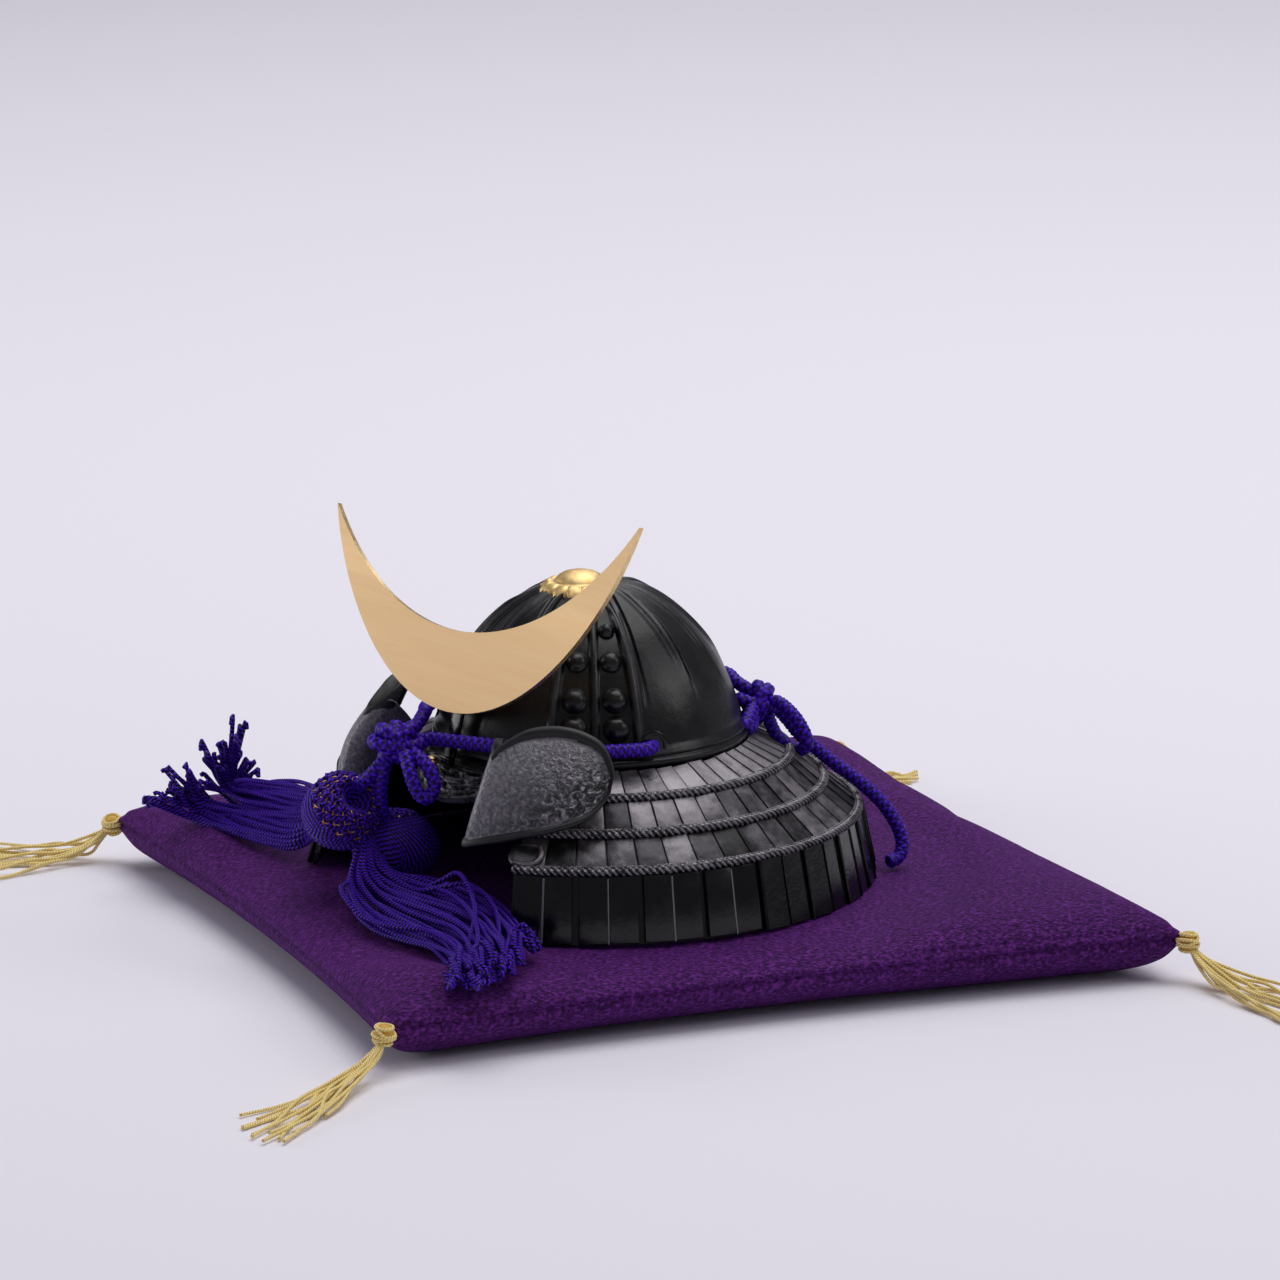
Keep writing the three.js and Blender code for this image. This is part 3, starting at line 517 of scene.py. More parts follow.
def makeBow(name, routes, node):
    bm = bmesh.new()
    for route in routes:
        braidedCord(bm, route)
    closeTubes(bm, braid["sides"])
    return newPiece(name, bm, [violetBraid], [node])


frontTurns = knotTurns(seenRoute([frontKnot["centre"]])[0], frontKnot["turns"])
frontBow = makeBow("frontBow", frontTurns + [seenRoute(frontLoop)], "front_bow")
backTurns = knotTurns(polar(*backKnot["centre"]) + backKnot["shift"], backKnot["turns"])
hanging = [[polar(*p) + backKnot["shift"] + Vector((0, 0, backKnot["loopRise"])) for p in route] for route in backLoops]
backBow = makeBow("backBow", backTurns + hanging, "back_bow")
print("stage: bows")

# Tassels: a head wound from pole to pole, netted at the top, and a skirt of twisted strands
strand = {"diameter": 1.4, "sides": 6, "spacing": 0.85}
copper = {"diameter": 0.48, "sides": 5, "spacing": 0.8}
tassels = {
    "front": {
        "head": (396, 848), "towards": 22.5, "radii": (12.0, 9.9), "net": (-0.25, 0.86, -0.3),
        "neck": (0.06, -0.38, 0.92), "meridians": 50, "netAngle": (4, 42), "dimple": 0,
        # left and right edge of the skirt as seen, with heights above the guard's edge
        "sections": [((364, 838), 17, (384, 862), 11), ((353, 866), 11, (390, 874), 9),
                     ((348, 889), 6.5, (405, 882), 7.5), ((356, 911), 3.2, (432, 885), 7.4),
                     ((376, 929), 1.8, (460, 890), 7.2), ((404, 941), 1.6, (486, 901), 6.8),
                     ((432, 950), 2.2, (508, 917), 6.0), ((448, 962), 2.4, (524, 936), 5.0)],
        "tips": [(450, 986, 1.0), (456, 978, 2.2), (463, 985, 1.0), (468, 972, 4.6), (474, 986, 1.2), (479, 976, 3.4),
                 (485, 984, 1.4), (491, 970, 4.4), (496, 982, 1.2), (502, 975, 2.4), (507, 966, 4.0), (512, 972, 1.6),
                 (518, 961, 3.6), (524, 966, 1.4), (529, 957, 2.8), (533, 948, 3.4)],
        "strays": [[(405, 880, 8), (424, 887, 9), (442, 880, 12), (456, 873, 14.5), (465, 880, 14.5), (472, 896, 12),
                    (475, 914, 10), (471, 934, 7), (463, 955, 4), (455, 974, 1.6)],
                   [(398, 882, 8), (420, 890, 9), (446, 886, 11.5), (468, 884, 12.5), (486, 896, 11.5), (497, 916, 9),
                    (498, 940, 6.5), (490, 962, 3.4)],
                   [(352, 880, 8), (341, 888, 8.4), (349, 903, 6.4), (366, 918, 4), (392, 926, 4.6), (425, 930, 5.6),
                    (452, 944, 6), (462, 964, 3.6)],
                   [(396, 878, 9), (420, 884, 10), (450, 894, 10.5), (470, 912, 10), (478, 936, 7.6), (474, 960, 4.6),
                    (481, 978, 1.6)]],
        "strands": 64, "layers": 4, "fray": 5,
    },
    "side": {
        "head": (341, 812), "towards": 25.5, "radii": (10.6, 10.2), "net": (0.52, 0.62, 0.58),
        "neck": (-0.93, -0.25, 0.2), "meridians": 46, "netAngle": (30, 74), "dimple": 34,
        "sections": [((312, 838), 8, (318, 798), 20), ((290, 848), 3.2, (303, 789), 18),
                     ((262, 843), 1.8, (280, 786), 15), ((233, 834), 1.4, (258, 786), 12.5),
                     ((206, 826), 1.2, (240, 786), 11)],
        "tips": [(156, 794, 20), (158, 786, 12), (170, 797, 8), (171, 788, 12), (176, 766, 20), (180, 784, 12),
                 (186, 780, 12), (190, 772, 6), (201, 760, 12), (202, 774, 6), (209.5, 744, 12), (213, 762, 6),
                 (217, 771, 12), (224, 721, 12), (227, 742, 6), (230, 756, 0), (237, 730, 6), (241, 762, 0),
                 (248, 752, 6), (253, 764, 0)],
        "strays": [[(318, 796, 21), (300, 787, 21), (275, 783, 19), (250, 780, 17), (236, 781, 14)]],
        "strands": 60, "layers": 4, "fray": 3,
    },
}


def poleToPole(net, neck, turn, share):
    # a circle on the ball through both poles, chosen by the angle of its plane round the chord
    middle = (net + neck) / 2
    outward = middle.normalized()
    chord = (neck - net).normalized()
    reach = outward * math.cos(turn) + chord.cross(outward) * math.sin(turn)
    centre = middle - reach * middle.dot(reach)
    radius = math.sqrt(max(1e-6, 1 - centre.length_squared))
    start = math.atan2((net - centre).dot(reach), (net - centre).dot(chord))
    end = math.atan2((neck - centre).dot(reach), (neck - centre).dot(chord))
    if end > start:
        end -= 2 * math.pi
    angle = mix(start, end, share)
    return centre + (chord * math.cos(angle) + reach * math.sin(angle)) * radius


def onHead(settings, direction, lift):
    wide, tall = settings["radii"]
    point = rightward * wide * direction[0] + Vector((0, 0, tall)) * direction[1] + facing * wide * direction[2]
    sink = 0.0
    if settings["dimple"]:  # the side tassel's head is hollow where the cord goes in
        off = math.degrees(Vector(settings["net"]).angle(Vector(direction)))
        sink = head["sink"] * (1 - smoothStep(settings["dimple"] * 0.35, settings["dimple"], off))
    return seenAt(*settings["head"], towards=settings["towards"]) + point * (1 - sink + lift / wide)


# Meridian strands over the ball, a net of crossing strands on its upper part, and copper threads between those
head = {"points": 13, "margin": 0.04, "jitter": 0.15, "core": -0.8, "crossings": 12, "netPoints": 8, "netLean": 1.2,
        "netWeave": 0.25, "netLift": 0.9, "copperLift": 0.62, "copperShift": 0.32, "sink": 0.62}


def makeTasselHead(name, settings, node):
    bm = bmesh.new()
    rng = random.Random(name)
    net, neck = Vector(settings["net"]).normalized(), Vector(settings["neck"]).normalized()
    for k in range(settings["meridians"]):
        turn = 2 * math.pi * k / settings["meridians"]
        route = []
        for i in range(head["points"] + 1):
            share = head["margin"] + (1 - 2 * head["margin"]) * i / head["points"]
            route.append(onHead(settings, poleToPole(net, neck, turn, share), head["jitter"] * rng.random()))
        addThread(bm, route, strand)
    # inner ball in the strands' material; with its UVs left at zero it takes the near black of the grooves, painted
    # shade seen between the strands
    core = bmesh.ops.create_uvsphere(bm, u_segments=24, v_segments=16, radius=1)
    for vert in core["verts"]:
        vert.co = onHead(settings, vert.co, head["core"])
    side = net.orthogonal().normalized()
    other = net.cross(side)
    nearest, farthest = (math.radians(a) for a in settings["netAngle"])

    def netRoute(k, family, lift):
        route = []
        for i in range(head["netPoints"] + 1):
            tilt = mix(nearest, farthest, i / head["netPoints"])
            spin = 2 * math.pi * k / head["crossings"] + family * head["netLean"] * i / head["netPoints"]
            direction = net * math.cos(tilt) + (side * math.cos(spin) + other * math.sin(spin)) * math.sin(tilt)
            route.append(onHead(settings, direction, lift + head["netWeave"] * family * math.cos(i * math.pi)))
        return route

    pairs = [(k, family) for k in range(head["crossings"]) for family in (1, -1)]
    for k, family in pairs:
        addThread(bm, netRoute(k, family, head["netLift"]), strand)
    closeTubes(bm, strand["sides"])
    violetFaces, known = set(bm.faces), set(bm.verts)
    for k, family in pairs:
        addThread(bm, netRoute(k + head["copperShift"] * family, family, head["copperLift"]), copper)
    closeTubes(bm, 8, known)
    paintNew(bm, violetFaces)
    return newPiece("tasselHead_" + name, bm, [violetTwist, copperThread], [node])


# How the strands of a skirt stray, in mm, and in pixels of the photograph where they are placed by their tips
skirt = {"above": 0.75, "begin": (-0.8, 0, 0.5), "crowd": 0.96, "sway": 0.04, "drift": 0.16, "layer": 0.85,
         "ripple": (0.35, 0.5), "otherTip": 2.2, "frontTip": ((-4, 4), (-7, 2), (-1, 1.5)), "frontBend": (1.0, 3.4),
         "frontHook": (1.4, 1.6), "sideTip": ((-9, 9), (-5, 14), (-3, 3)), "sideHook": 0.9, "gatherFrom": 195,
         "gatherAt": (243, 786, 11), "gather": 0.45}


def makeTasselSkirt(name, settings, node):
    bm = bmesh.new()
    rng = random.Random(name + "skirt")
    neck = Vector(settings["neck"]).normalized()
    low = helmetBase + skirt["above"]
    edges = [(seenAt(*left, height=leftHeight), seenAt(*right, height=rightHeight))
             for left, leftHeight, right, rightHeight in settings["sections"]]
    columns = settings["strands"] // settings["layers"]
    for k in range(columns * settings["layers"]):
        share, layer = (k % columns) / (columns - 1), k // columns
        sway, phase, drift = rng.uniform(-1, 1), rng.uniform(0, 6.28), rng.uniform(-skirt["drift"], skirt["drift"])
        route = [onHead(settings, neck.lerp(Vector(skirt["begin"]), 0.5 * (1 - share)), -3)]
        for i, (left, right) in enumerate(edges):
            late = i / (len(edges) - 1)
            swing = skirt["sway"] * sway * math.sin(i * 0.9 + phase)
            crowd = min(1, max(0, 0.5 + (share - 0.5) * skirt["crowd"] + swing + drift * late * late))
            point = left.lerp(right, crowd)
            point.z += (layer - 0.5) * strand["diameter"] * skirt["layer"] * (0.5 + math.sin(math.pi * crowd) * 0.7)
            ripple = skirt["ripple"][0] + skirt["ripple"][1] * late
            point.z = max(point.z + ripple * math.sin(i * 1.3 + phase), low)
            route.append(point)
        # the last stretch bends to its tip, where the thread is looped back on itself
        last = len(settings["tips"]) - 1
        pick = min(last, max(0, round(share * last + rng.uniform(-skirt["otherTip"], skirt["otherTip"]))))
        x, y, height = settings["tips"][pick]
        if name == "front":
            x, y, height = (value + rng.uniform(*stray) for value, stray in zip((x, y, height), skirt["frontTip"]))
            tip = seenAt(x, y, height=max(0.8, height))
            bend = route[-1].lerp(tip, 0.5) + Vector((0, 0, rng.uniform(*skirt["frontBend"])))
            out, back = skirt["frontHook"]
            hook = [tip + Vector((rng.uniform(-out, out), rng.uniform(-out, out), 0.9)),
                    tip.lerp(bend, 0.35) + Vector((rng.uniform(-back, back), rng.uniform(-back, back), 1.2))]
        else:
            place = zip((x, y, route[-1].dot(facing)), skirt["sideTip"])
            tipX, tipY, towards = (value + rng.uniform(*stray) for value, stray in place)
            tip = seenAt(tipX, tipY, towards=towards)
            tip.z = max(tip.z, low)
            if x > skirt["gatherFrom"]:
                gatherX, gatherY, height = skirt["gatherAt"]
                route[-1] = route[-1].lerp(seenAt(gatherX, gatherY, height=height),
                                           skirt["gather"] + rng.uniform(-0.2, 0.2))
            onwards = (route[-1] - route[-2]).normalized()
            bend = route[-1].lerp(tip, 0.3) + onwards * min(3.5, (tip - route[-1]).length * 0.3)
            lean = (tip - bend).normalized() + Vector((rng.uniform(-0.4, 0.4), rng.uniform(-0.4, 0.4), 0))
            wide = skirt["sideHook"]
            droop = Vector((rng.uniform(-wide, wide), rng.uniform(-wide, wide), -rng.uniform(0.6, settings["fray"])))
            hook = [tip + lean * 1.2, tip + lean * 1.4 + droop]
        route += [bend, tip] + hook
        for point in route:
            point.z = max(point.z, low - 0.05)
        addThread(bm, route, strand)
    for stray in settings["strays"]:
        addThread(bm, [seenAt(x, y, height=height) for x, y, height in stray], strand)
    closeTubes(bm, strand["sides"])
    return newPiece("tasselSkirt_" + name, bm, [violetTwist], [node])


frontTassel = makeTasselHead("front", tassels["front"], "tassel_front")
sideTassel = makeTasselHead("side", tassels["side"], "tassel_side")
makeTasselSkirt("front", tassels["front"], "tassel_front")
makeTasselSkirt("side", tassels["side"], "tassel_side")
print("stage: tassels")
makeCord("leftCord", leftRoute, ["front_cord_left", "drop_cord_front"])
makeCord("rightCord", rightRoute, ["front_cord_right", "drop_cord_side"])
makeCord("backCord", backRoute, ["back_cord", "back_tail"])
print("stage: cords")

# Bowl: spun shell, then plate laps, ribs and a sunk rivet panel are raised on it (mm, degrees)
bowl = {"radius": 44.2, "rim": 42, "rise": 44.8, "fullness": 1.52, "roundness": 0.479, "wall": 3, "steps": 880,
        "rings": 70, "seams": [0, 24, 78, 103.5, 129, 154.5, 180], "ribs": [40, 57, 74], "ribHeight": 0.9,
        "lapHeight": 0.9, "lines": (1.6, 3.1), "rivetShares": [(0.215, 1), (0.385, 0.95), (0.605, 0.8), (0.77, 0.6)],
        "rivetRadius": 3.4, "rivetProud": 2.6, "lapWidth": 5.5, "grooveWidth": 1.6, "grooveDepth": 0.8,
        "lineDepth": 0.3, "lineHalf": 0.45, "ribHalf": 1.5, "panelDepth": 0.6,
        "rimProfile": [(41.2, 41.0), (43, 40.9), (45.3, 41.0), (45.6, 41.4), (45.6, 42.6), (45.3, 43.0), (44.8, 43.15),
                       (44.6, 43.6), (44.95, 43.9), (45.05, 44.4), (44.8, 44.8)], "rimTop": 45.2, "innerRings": 12}


def bowlOuter(share):
    return bowl["radius"] * max(0, 1 - share ** bowl["fullness"]) ** bowl["roundness"]


def bowlRelief(azimuth, share, radius):
    side = abs((azimuth + 180) % 360 - 180)
    lift = 0.0
    fade = smoothStep(0.30, 0.62, share) * (1 - smoothStep(0.93, 0.99, share))
    for seam in bowl["seams"]:
        away = math.radians(side - seam) * radius  # mm, positive behind the seam
        if seam in (0, 180):
            away = -abs(away)
        if -bowl["lapWidth"] < away <= 0:
            lift += bowl["lapHeight"] * fade * (1 + away / bowl["lapWidth"]) ** 2
            for line in bowl["lines"]:
                depth = bowl["lineDepth"] * max(0, 1 - abs(away + line) / bowl["lineHalf"])
                lift -= depth * fade * smoothStep(0.5, 0.75, share)
        elif 0 < away < bowl["grooveWidth"]:
            lift -= bowl["grooveDepth"] * fade * math.sin(math.pi * away / bowl["grooveWidth"])
    ribFade = smoothStep(0.05, 0.1, share) * (1 - smoothStep(0.8, 0.92, share))
    for rib in bowl["ribs"]:
        away = abs(math.radians(side - rib)) * radius
        if away < bowl["ribHalf"]:
            lift += bowl["ribHeight"] * ribFade * math.cos(away / bowl["ribHalf"] * math.pi / 2)
    if bowl["ribs"][0] < side < bowl["ribs"][-1]:
        inside = min(side - bowl["ribs"][0], bowl["ribs"][-1] - side)
        lift -= bowl["panelDepth"] * ribFade * smoothStep(0.8, 3, inside)
    return lift


def makeBowl():
    bm = bmesh.new()
    toneAndPaintedLight = bm.verts.layers.float.new("toneAndPaintedLight")
    outer, inner = [], []
    for i in range(bowl["rings"] + 1):
        share = math.sin(i / bowl["rings"] * math.pi / 2)
        outer.append((bowlOuter(share), bowl["rim"] + bowl["rise"] * share))
    for i in range(1, bowl["innerRings"] + 1):
        share = math.sin(i / bowl["innerRings"] * math.pi / 2)
        inner.append((max(0, bowlOuter(share) - bowl["wall"]), bowl["rim"] + bowl["rise"] * share - bowl["wall"]))
    start = next(i for i, (_, z) in enumerate(outer) if z > bowl["rimTop"])
    inner[-1] = (0, inner[-1][1])
    outer[-1] = (0, outer[-1][1])
    profile = inner[::-1] + bowl["rimProfile"] + outer[start:]
    spinLine(bm, [(0, -r, z) for r, z in profile], bowl["steps"], 0.0005)
    for vert in bm.verts:
        radius = math.hypot(vert.co.x, vert.co.y)
        share = (vert.co.z - bowl["rim"]) / bowl["rise"]
        expected = bowlOuter(min(1, max(0, share)))
        if share > 0.06 and radius > 1 and abs(radius - expected) < 1:
            azimuth = math.degrees(math.atan2(vert.co.x, -vert.co.y))
            slope = Vector((vert.co.x, vert.co.y, radius * smoothStep(0, 1.1, share) * 1.5)).normalized()
            unevenness = 0.22 * noise.noise(vert.co * 0.07)
            raised = bowlRelief(azimuth, share, radius)
            # the tone follows the relief: raised laps and ribs are painted lighter as highlight, and grooves, lines and
            # the sunk rivet panel are painted darker as shade
            vert[toneAndPaintedLight] = min(1, max(-1, raised))
            vert.co += slope * (raised + unevenness)
        vert.co.z += helmetBase
    for side in (-1, 1):
        for azimuth in (48.5, 65.5):
            for share, size in bowl["rivetShares"]:
                proud = 1 if side > 0 or size > 0.9 else 0.45  # the far side's upper rivets lie low
                addRivet(bm, side * azimuth, share, size, proud)
    newPiece("bowlShell", bm, [iron["bowl"]], ["bowl"], sharpAngle=50)


def addRivet(bm, azimuth, share, size, proud):
    radius = bowl["rivetRadius"] * size
    foot = polar(azimuth, bowlOuter(share) - 0.3, bowl["rim"] + bowl["rise"] * share)
    slope = (bowlOuter(share) - bowlOuter(share + 0.02)) / (bowl["rise"] * 0.02)
    out = (polar(azimuth, 1, slope - helmetBase)).normalized()
    ball = bmesh.ops.create_uvsphere(bm, u_segments=28, v_segments=18, radius=1)
    for vert in ball["verts"]:
        flare = 1 + 0.16 * smoothStep(0.35, 0.0, vert.co.z) if vert.co.z < 0.35 else 1
        vert.co = Vector((vert.co.x * radius * flare, vert.co.y * radius * flare,
                          vert.co.z * bowl["rivetProud"] * max(size, 0.75) * proud))
        vert.co += Vector((0, 0, 1)) * 0.12 * noise.noise(vert.co * 0.8 + foot)
    bmesh.ops.rotate(bm, cent=(0, 0, 0), matrix=out.to_track_quat("Z", "Y").to_matrix(), verts=ball["verts"])
    bmesh.ops.translate(bm, vec=foot, verts=ball["verts"])


makeBowl()
print("stage: bowl")

# Rings of the cord holes; each is closed behind the cord by a flat disc of the darkest iron, painted shade standing for
# the hole's shadowed throat
holes = {"places": [(79, 46.5), (-79, 46.5), (176, 53.5)],
         "profile": [(0.0, 0.25), (3.2, 0.25), (3.4, 0.5), (3.9, 0.6), (4.4, 0.35), (4.6, -0.6)]}


def makeHoles():
    bm = bmesh.new()
    for azimuth, height in holes["places"]:
        share = (height - bowl["rim"]) / bowl["rise"]
        foot = polar(azimuth, bowlOuter(share) - 0.1, height)
        out = polar(azimuth, 1, 0.1 - helmetBase).normalized()
        ring = spinLine(bm, [(r, 0, z) for r, z in holes["profile"]], 32)
        matrix = Matrix.Translation(foot) @ out.to_track_quat("Z", "Y").to_matrix().to_4x4()
        bmesh.ops.transform(bm, matrix=matrix, verts=ring)
    newPiece("cordHoleRings", bm, [iron["skirt"]], sharpAngle=40)


makeHoles()

# Crown ornament: a smooth dome in a ring of scalloped, grooved petals
crown = {"forward": 3.5, "petals": 16, "steps": 256, "groove": 0.55, "trim": 0.08,
         "profile": [(0, 89.3), (2.4, 89.15), (4.6, 88.6), (6.2, 87.7), (7.1, 86.6), (7.4, 86.1), (7.9, 86.0),
                     (8.5, 86.35), (9.4, 86.3), (10.4, 85.7), (11.4, 84.7), (12.2, 83.6), (12.6, 82.7), (12.4, 82.0),
                     (11.6, 81.6), (6, 82.5), (0, 83)]}


def makeCrownOrnament():
    bm = bmesh.new()
    spinLine(bm, [(r, 0, z) for r, z in crown["profile"]], crown["steps"])
    for vert in bm.verts:
        radius = math.hypot(vert.co.x, vert.co.y)
        angle = math.atan2(vert.co.y, vert.co.x) * crown["petals"] / 2
        groove = (1 - abs(math.cos(angle))) ** 2
        share = smoothStep(7.9, 9.2, radius)
        if vert.co.z > 82.2 and share > 0:
            vert.co.z -= groove * crown["groove"] * share
            vert.co.z += 0.35 * share * noise.noise(vert.co * 0.5)
        if radius > 11:
            trim = 1 - crown["trim"] * groove * smoothStep(11, 12.4, radius)
            vert.co.x *= trim
            vert.co.y *= trim
    bmesh.ops.translate(bm, vec=(0, -crown["forward"], helmetBase), verts=bm.verts)
    newPiece("crownOrnament", bm, [giltCasting], ["crown_ornament"])


makeCrownOrnament()

# Crest: a flat crescent between two arcs, bevelled all round, with small round tips
crest = {"outer": 77, "inner": 97.9, "shift": 42.8, "thick": 1.4, "lean": 15, "roll": 6.8, "foot": (1.3, -46, 54.4),
         "bow": 1.25, "waves": 3.6, "steps": 96, "bevel": 0.28}


def crescentArcs(share):
    outer, inner, shift = crest["outer"], crest["inner"], crest["shift"]
    drop = (outer ** 2 - inner ** 2 + shift ** 2) / (2 * shift)
    outerEnd = math.acos(-drop / outer)
    turn = mix(-outerEnd, outerEnd, 0.0015 + 0.997 * share)
    reach = outer + crest["bow"] * (math.cos(crest["waves"] * turn) - math.cos(crest["waves"] * outerEnd))
    low = Vector((reach * math.sin(turn), outer - reach * math.cos(turn), 0))
    turn = mix(-1, 1, 0.0025 + 0.995 * share) * math.acos((shift - drop) / inner)
    high = Vector((inner * math.sin(turn), outer + shift - inner * math.cos(turn), 0))
    return low, high


def makeCrest():
    bm = bmesh.new()
    grid = bmesh.ops.create_grid(bm, x_segments=crest["steps"], y_segments=6, size=0.5)["verts"]
    for vert in grid:
        low, high = crescentArcs(vert.co.x + 0.5)
        vert.co = low.lerp(high, vert.co.y + 0.5)
    top = bmesh.ops.extrude_face_region(bm, geom=list(bm.faces))["geom"]
    bmesh.ops.translate(bm, vec=(0, 0, crest["thick"]), verts=[g for g in top if isinstance(g, bmesh.types.BMVert)])
    bmesh.ops.recalc_face_normals(bm, faces=bm.faces)
    corners = [e for e in bm.edges if len(e.link_faces) == 2 and e.calc_face_angle(0) > math.radians(60)]
    bmesh.ops.bevel(bm, geom=corners, offset=crest["bevel"], segments=2, profile=0.5, affect="EDGES", material=-1,
                    clamp_overlap=True)
    bm.normal_update()
    for face in bm.faces:
        face.material_index = 0 if abs(face.normal.z) > 0.99 else 1
    foot = Matrix.Translation(Vector(crest["foot"]) + Vector((0, 0, helmetBase)))
    lean = Matrix.Rotation(math.pi / 2 - math.radians(crest["lean"]), 4, "X")
    bmesh.ops.transform(bm, matrix=foot @ lean @ Matrix.Rotation(math.radians(crest["roll"]), 4, "Z"), verts=bm.verts)
    newPiece("crestPlate", bm, [brushedBrass, polishedBrass], ["crest"], sharpAngle=14)


# Post behind the crest, lacquered black, and the gilt screw that stands on the visor in front of it
post = {"width": 5, "long": 20, "overlap": 5, "thick": 1.2, "gap": 0.3, "armSize": (10.5, 2.4, 1.8),
        "armPlace": (-2.75, -49.6, -0.2),
        # the screw's profile as radius and depth below its top
        "screw": (-5.5, -51.3, 40.2), "profile": [(0, 0), (0.9, 0.1), (1.45, 0.6), (1.45, 1.2), (1.75, 1.5),
                                                  (1.75, 2.6), (1.2, 2.9), (1.2, 4.8), (0, 4.8)]}


def makeCrestPost():
    bm = bmesh.new()
    strip = bmesh.ops.create_cube(bm, size=1)["verts"]
    for vert in strip:
        x, y, z = vert.co
        vert.co = (x * post["width"], (y - 0.5) * post["long"] + post["overlap"],
                   (z - 0.5) * post["thick"] - post["gap"])
    foot = Matrix.Translation(Vector((0, crest["foot"][1], crest["foot"][2] + helmetBase)))
    lean = Matrix.Rotation(math.pi / 2 - math.radians(crest["lean"]), 4, "X")
    bmesh.ops.transform(bm, matrix=foot @ lean, verts=strip)
    arm = bmesh.ops.create_cube(bm, size=1)["verts"]
    low = crest["foot"][2] - (post["long"] - post["overlap"]) * math.cos(math.radians(crest["lean"]))
    for vert in arm:
        vert.co = vert.co * Vector(post["armSize"]) + Vector(post["armPlace"]) + Vector((0, 0, low + helmetBase))
    bmesh.ops.bevel(bm, geom=list(bm.edges), offset=0.25, segments=2, profile=0.5, affect="EDGES", material=-1)
    newPiece("crestPost", bm, [iron["skirt"]], ["crest_post"], sharpAngle=40)
    bm = bmesh.new()
    x, y, screwTop = post["screw"]
    spinLine(bm, [(r, 0, screwTop - depth) for r, depth in post["profile"]], 10)
    bmesh.ops.translate(bm, vec=(x, y, helmetBase), verts=bm.verts)
    newPiece("crestScrew", bm, [giltCasting], ["crest_post"], sharpAngle=30)


makeCrest()
makeCrestPost()
print("stage: crest")

# Neck guard: four rows of upright plates on a backing, with twisted lacing along the foot of three
guard = {"radius": 82, "open": 39, "plates": 43, "wall": 2.4,
         "line": [(0.562, 0.972), (0.713, 0.833), (0.829, 0.643), (0.951, 0.452), (1.0, 0.0)],
         "gap": 0.34, "plateThick": 1.5, "paintedRowLight": (0.3, -0.05, -0.35, 0.0), "fillet": 0.55, "bottom": 3,
         # twisted lacing along the foot of a row, and a thin cord above it
         "ropes": [{"up": 1.0, "lift": 0.5, "diameter": 2.6, "plies": 3, "pitch": 5.6, "sides": 12, "hollow": 0.728},
                   {"up": 2.3, "lift": 0.55, "diameter": 1.1, "plies": 2, "pitch": -2.4, "sides": 8, "hollow": 0.3}]}
# Plates of the laced rows, and the wider ones of the bottom row, which overlap in pairs (even, odd)
lacedPlate = {"short": 1.9, "lean": 0.12, "shift": 0, "uneven": (0, 0.25), "proud": (0.2, 0.2), "narrow": 0, "step": 0,
              "bevel": 0.34, "backing": 0.4}
bottomPlate = {"short": 0, "lean": 0.0, "shift": 0.35, "uneven": (0.2, 0.5), "proud": (0.55, 0.25), "narrow": 0.7,
               "step": 0.35, "bevel": 0.42, "backing": 0}


# Top and foot of a row's section, with the directions down along it and out from it
def rowLine(index):
    top, foot = (Vector((r * guard["radius"], z * bowl["rim"])) for r, z in guard["line"][index:index + 2])
    down = (foot - top).normalized()
    return top, foot, down, Vector((-down.y, down.x))


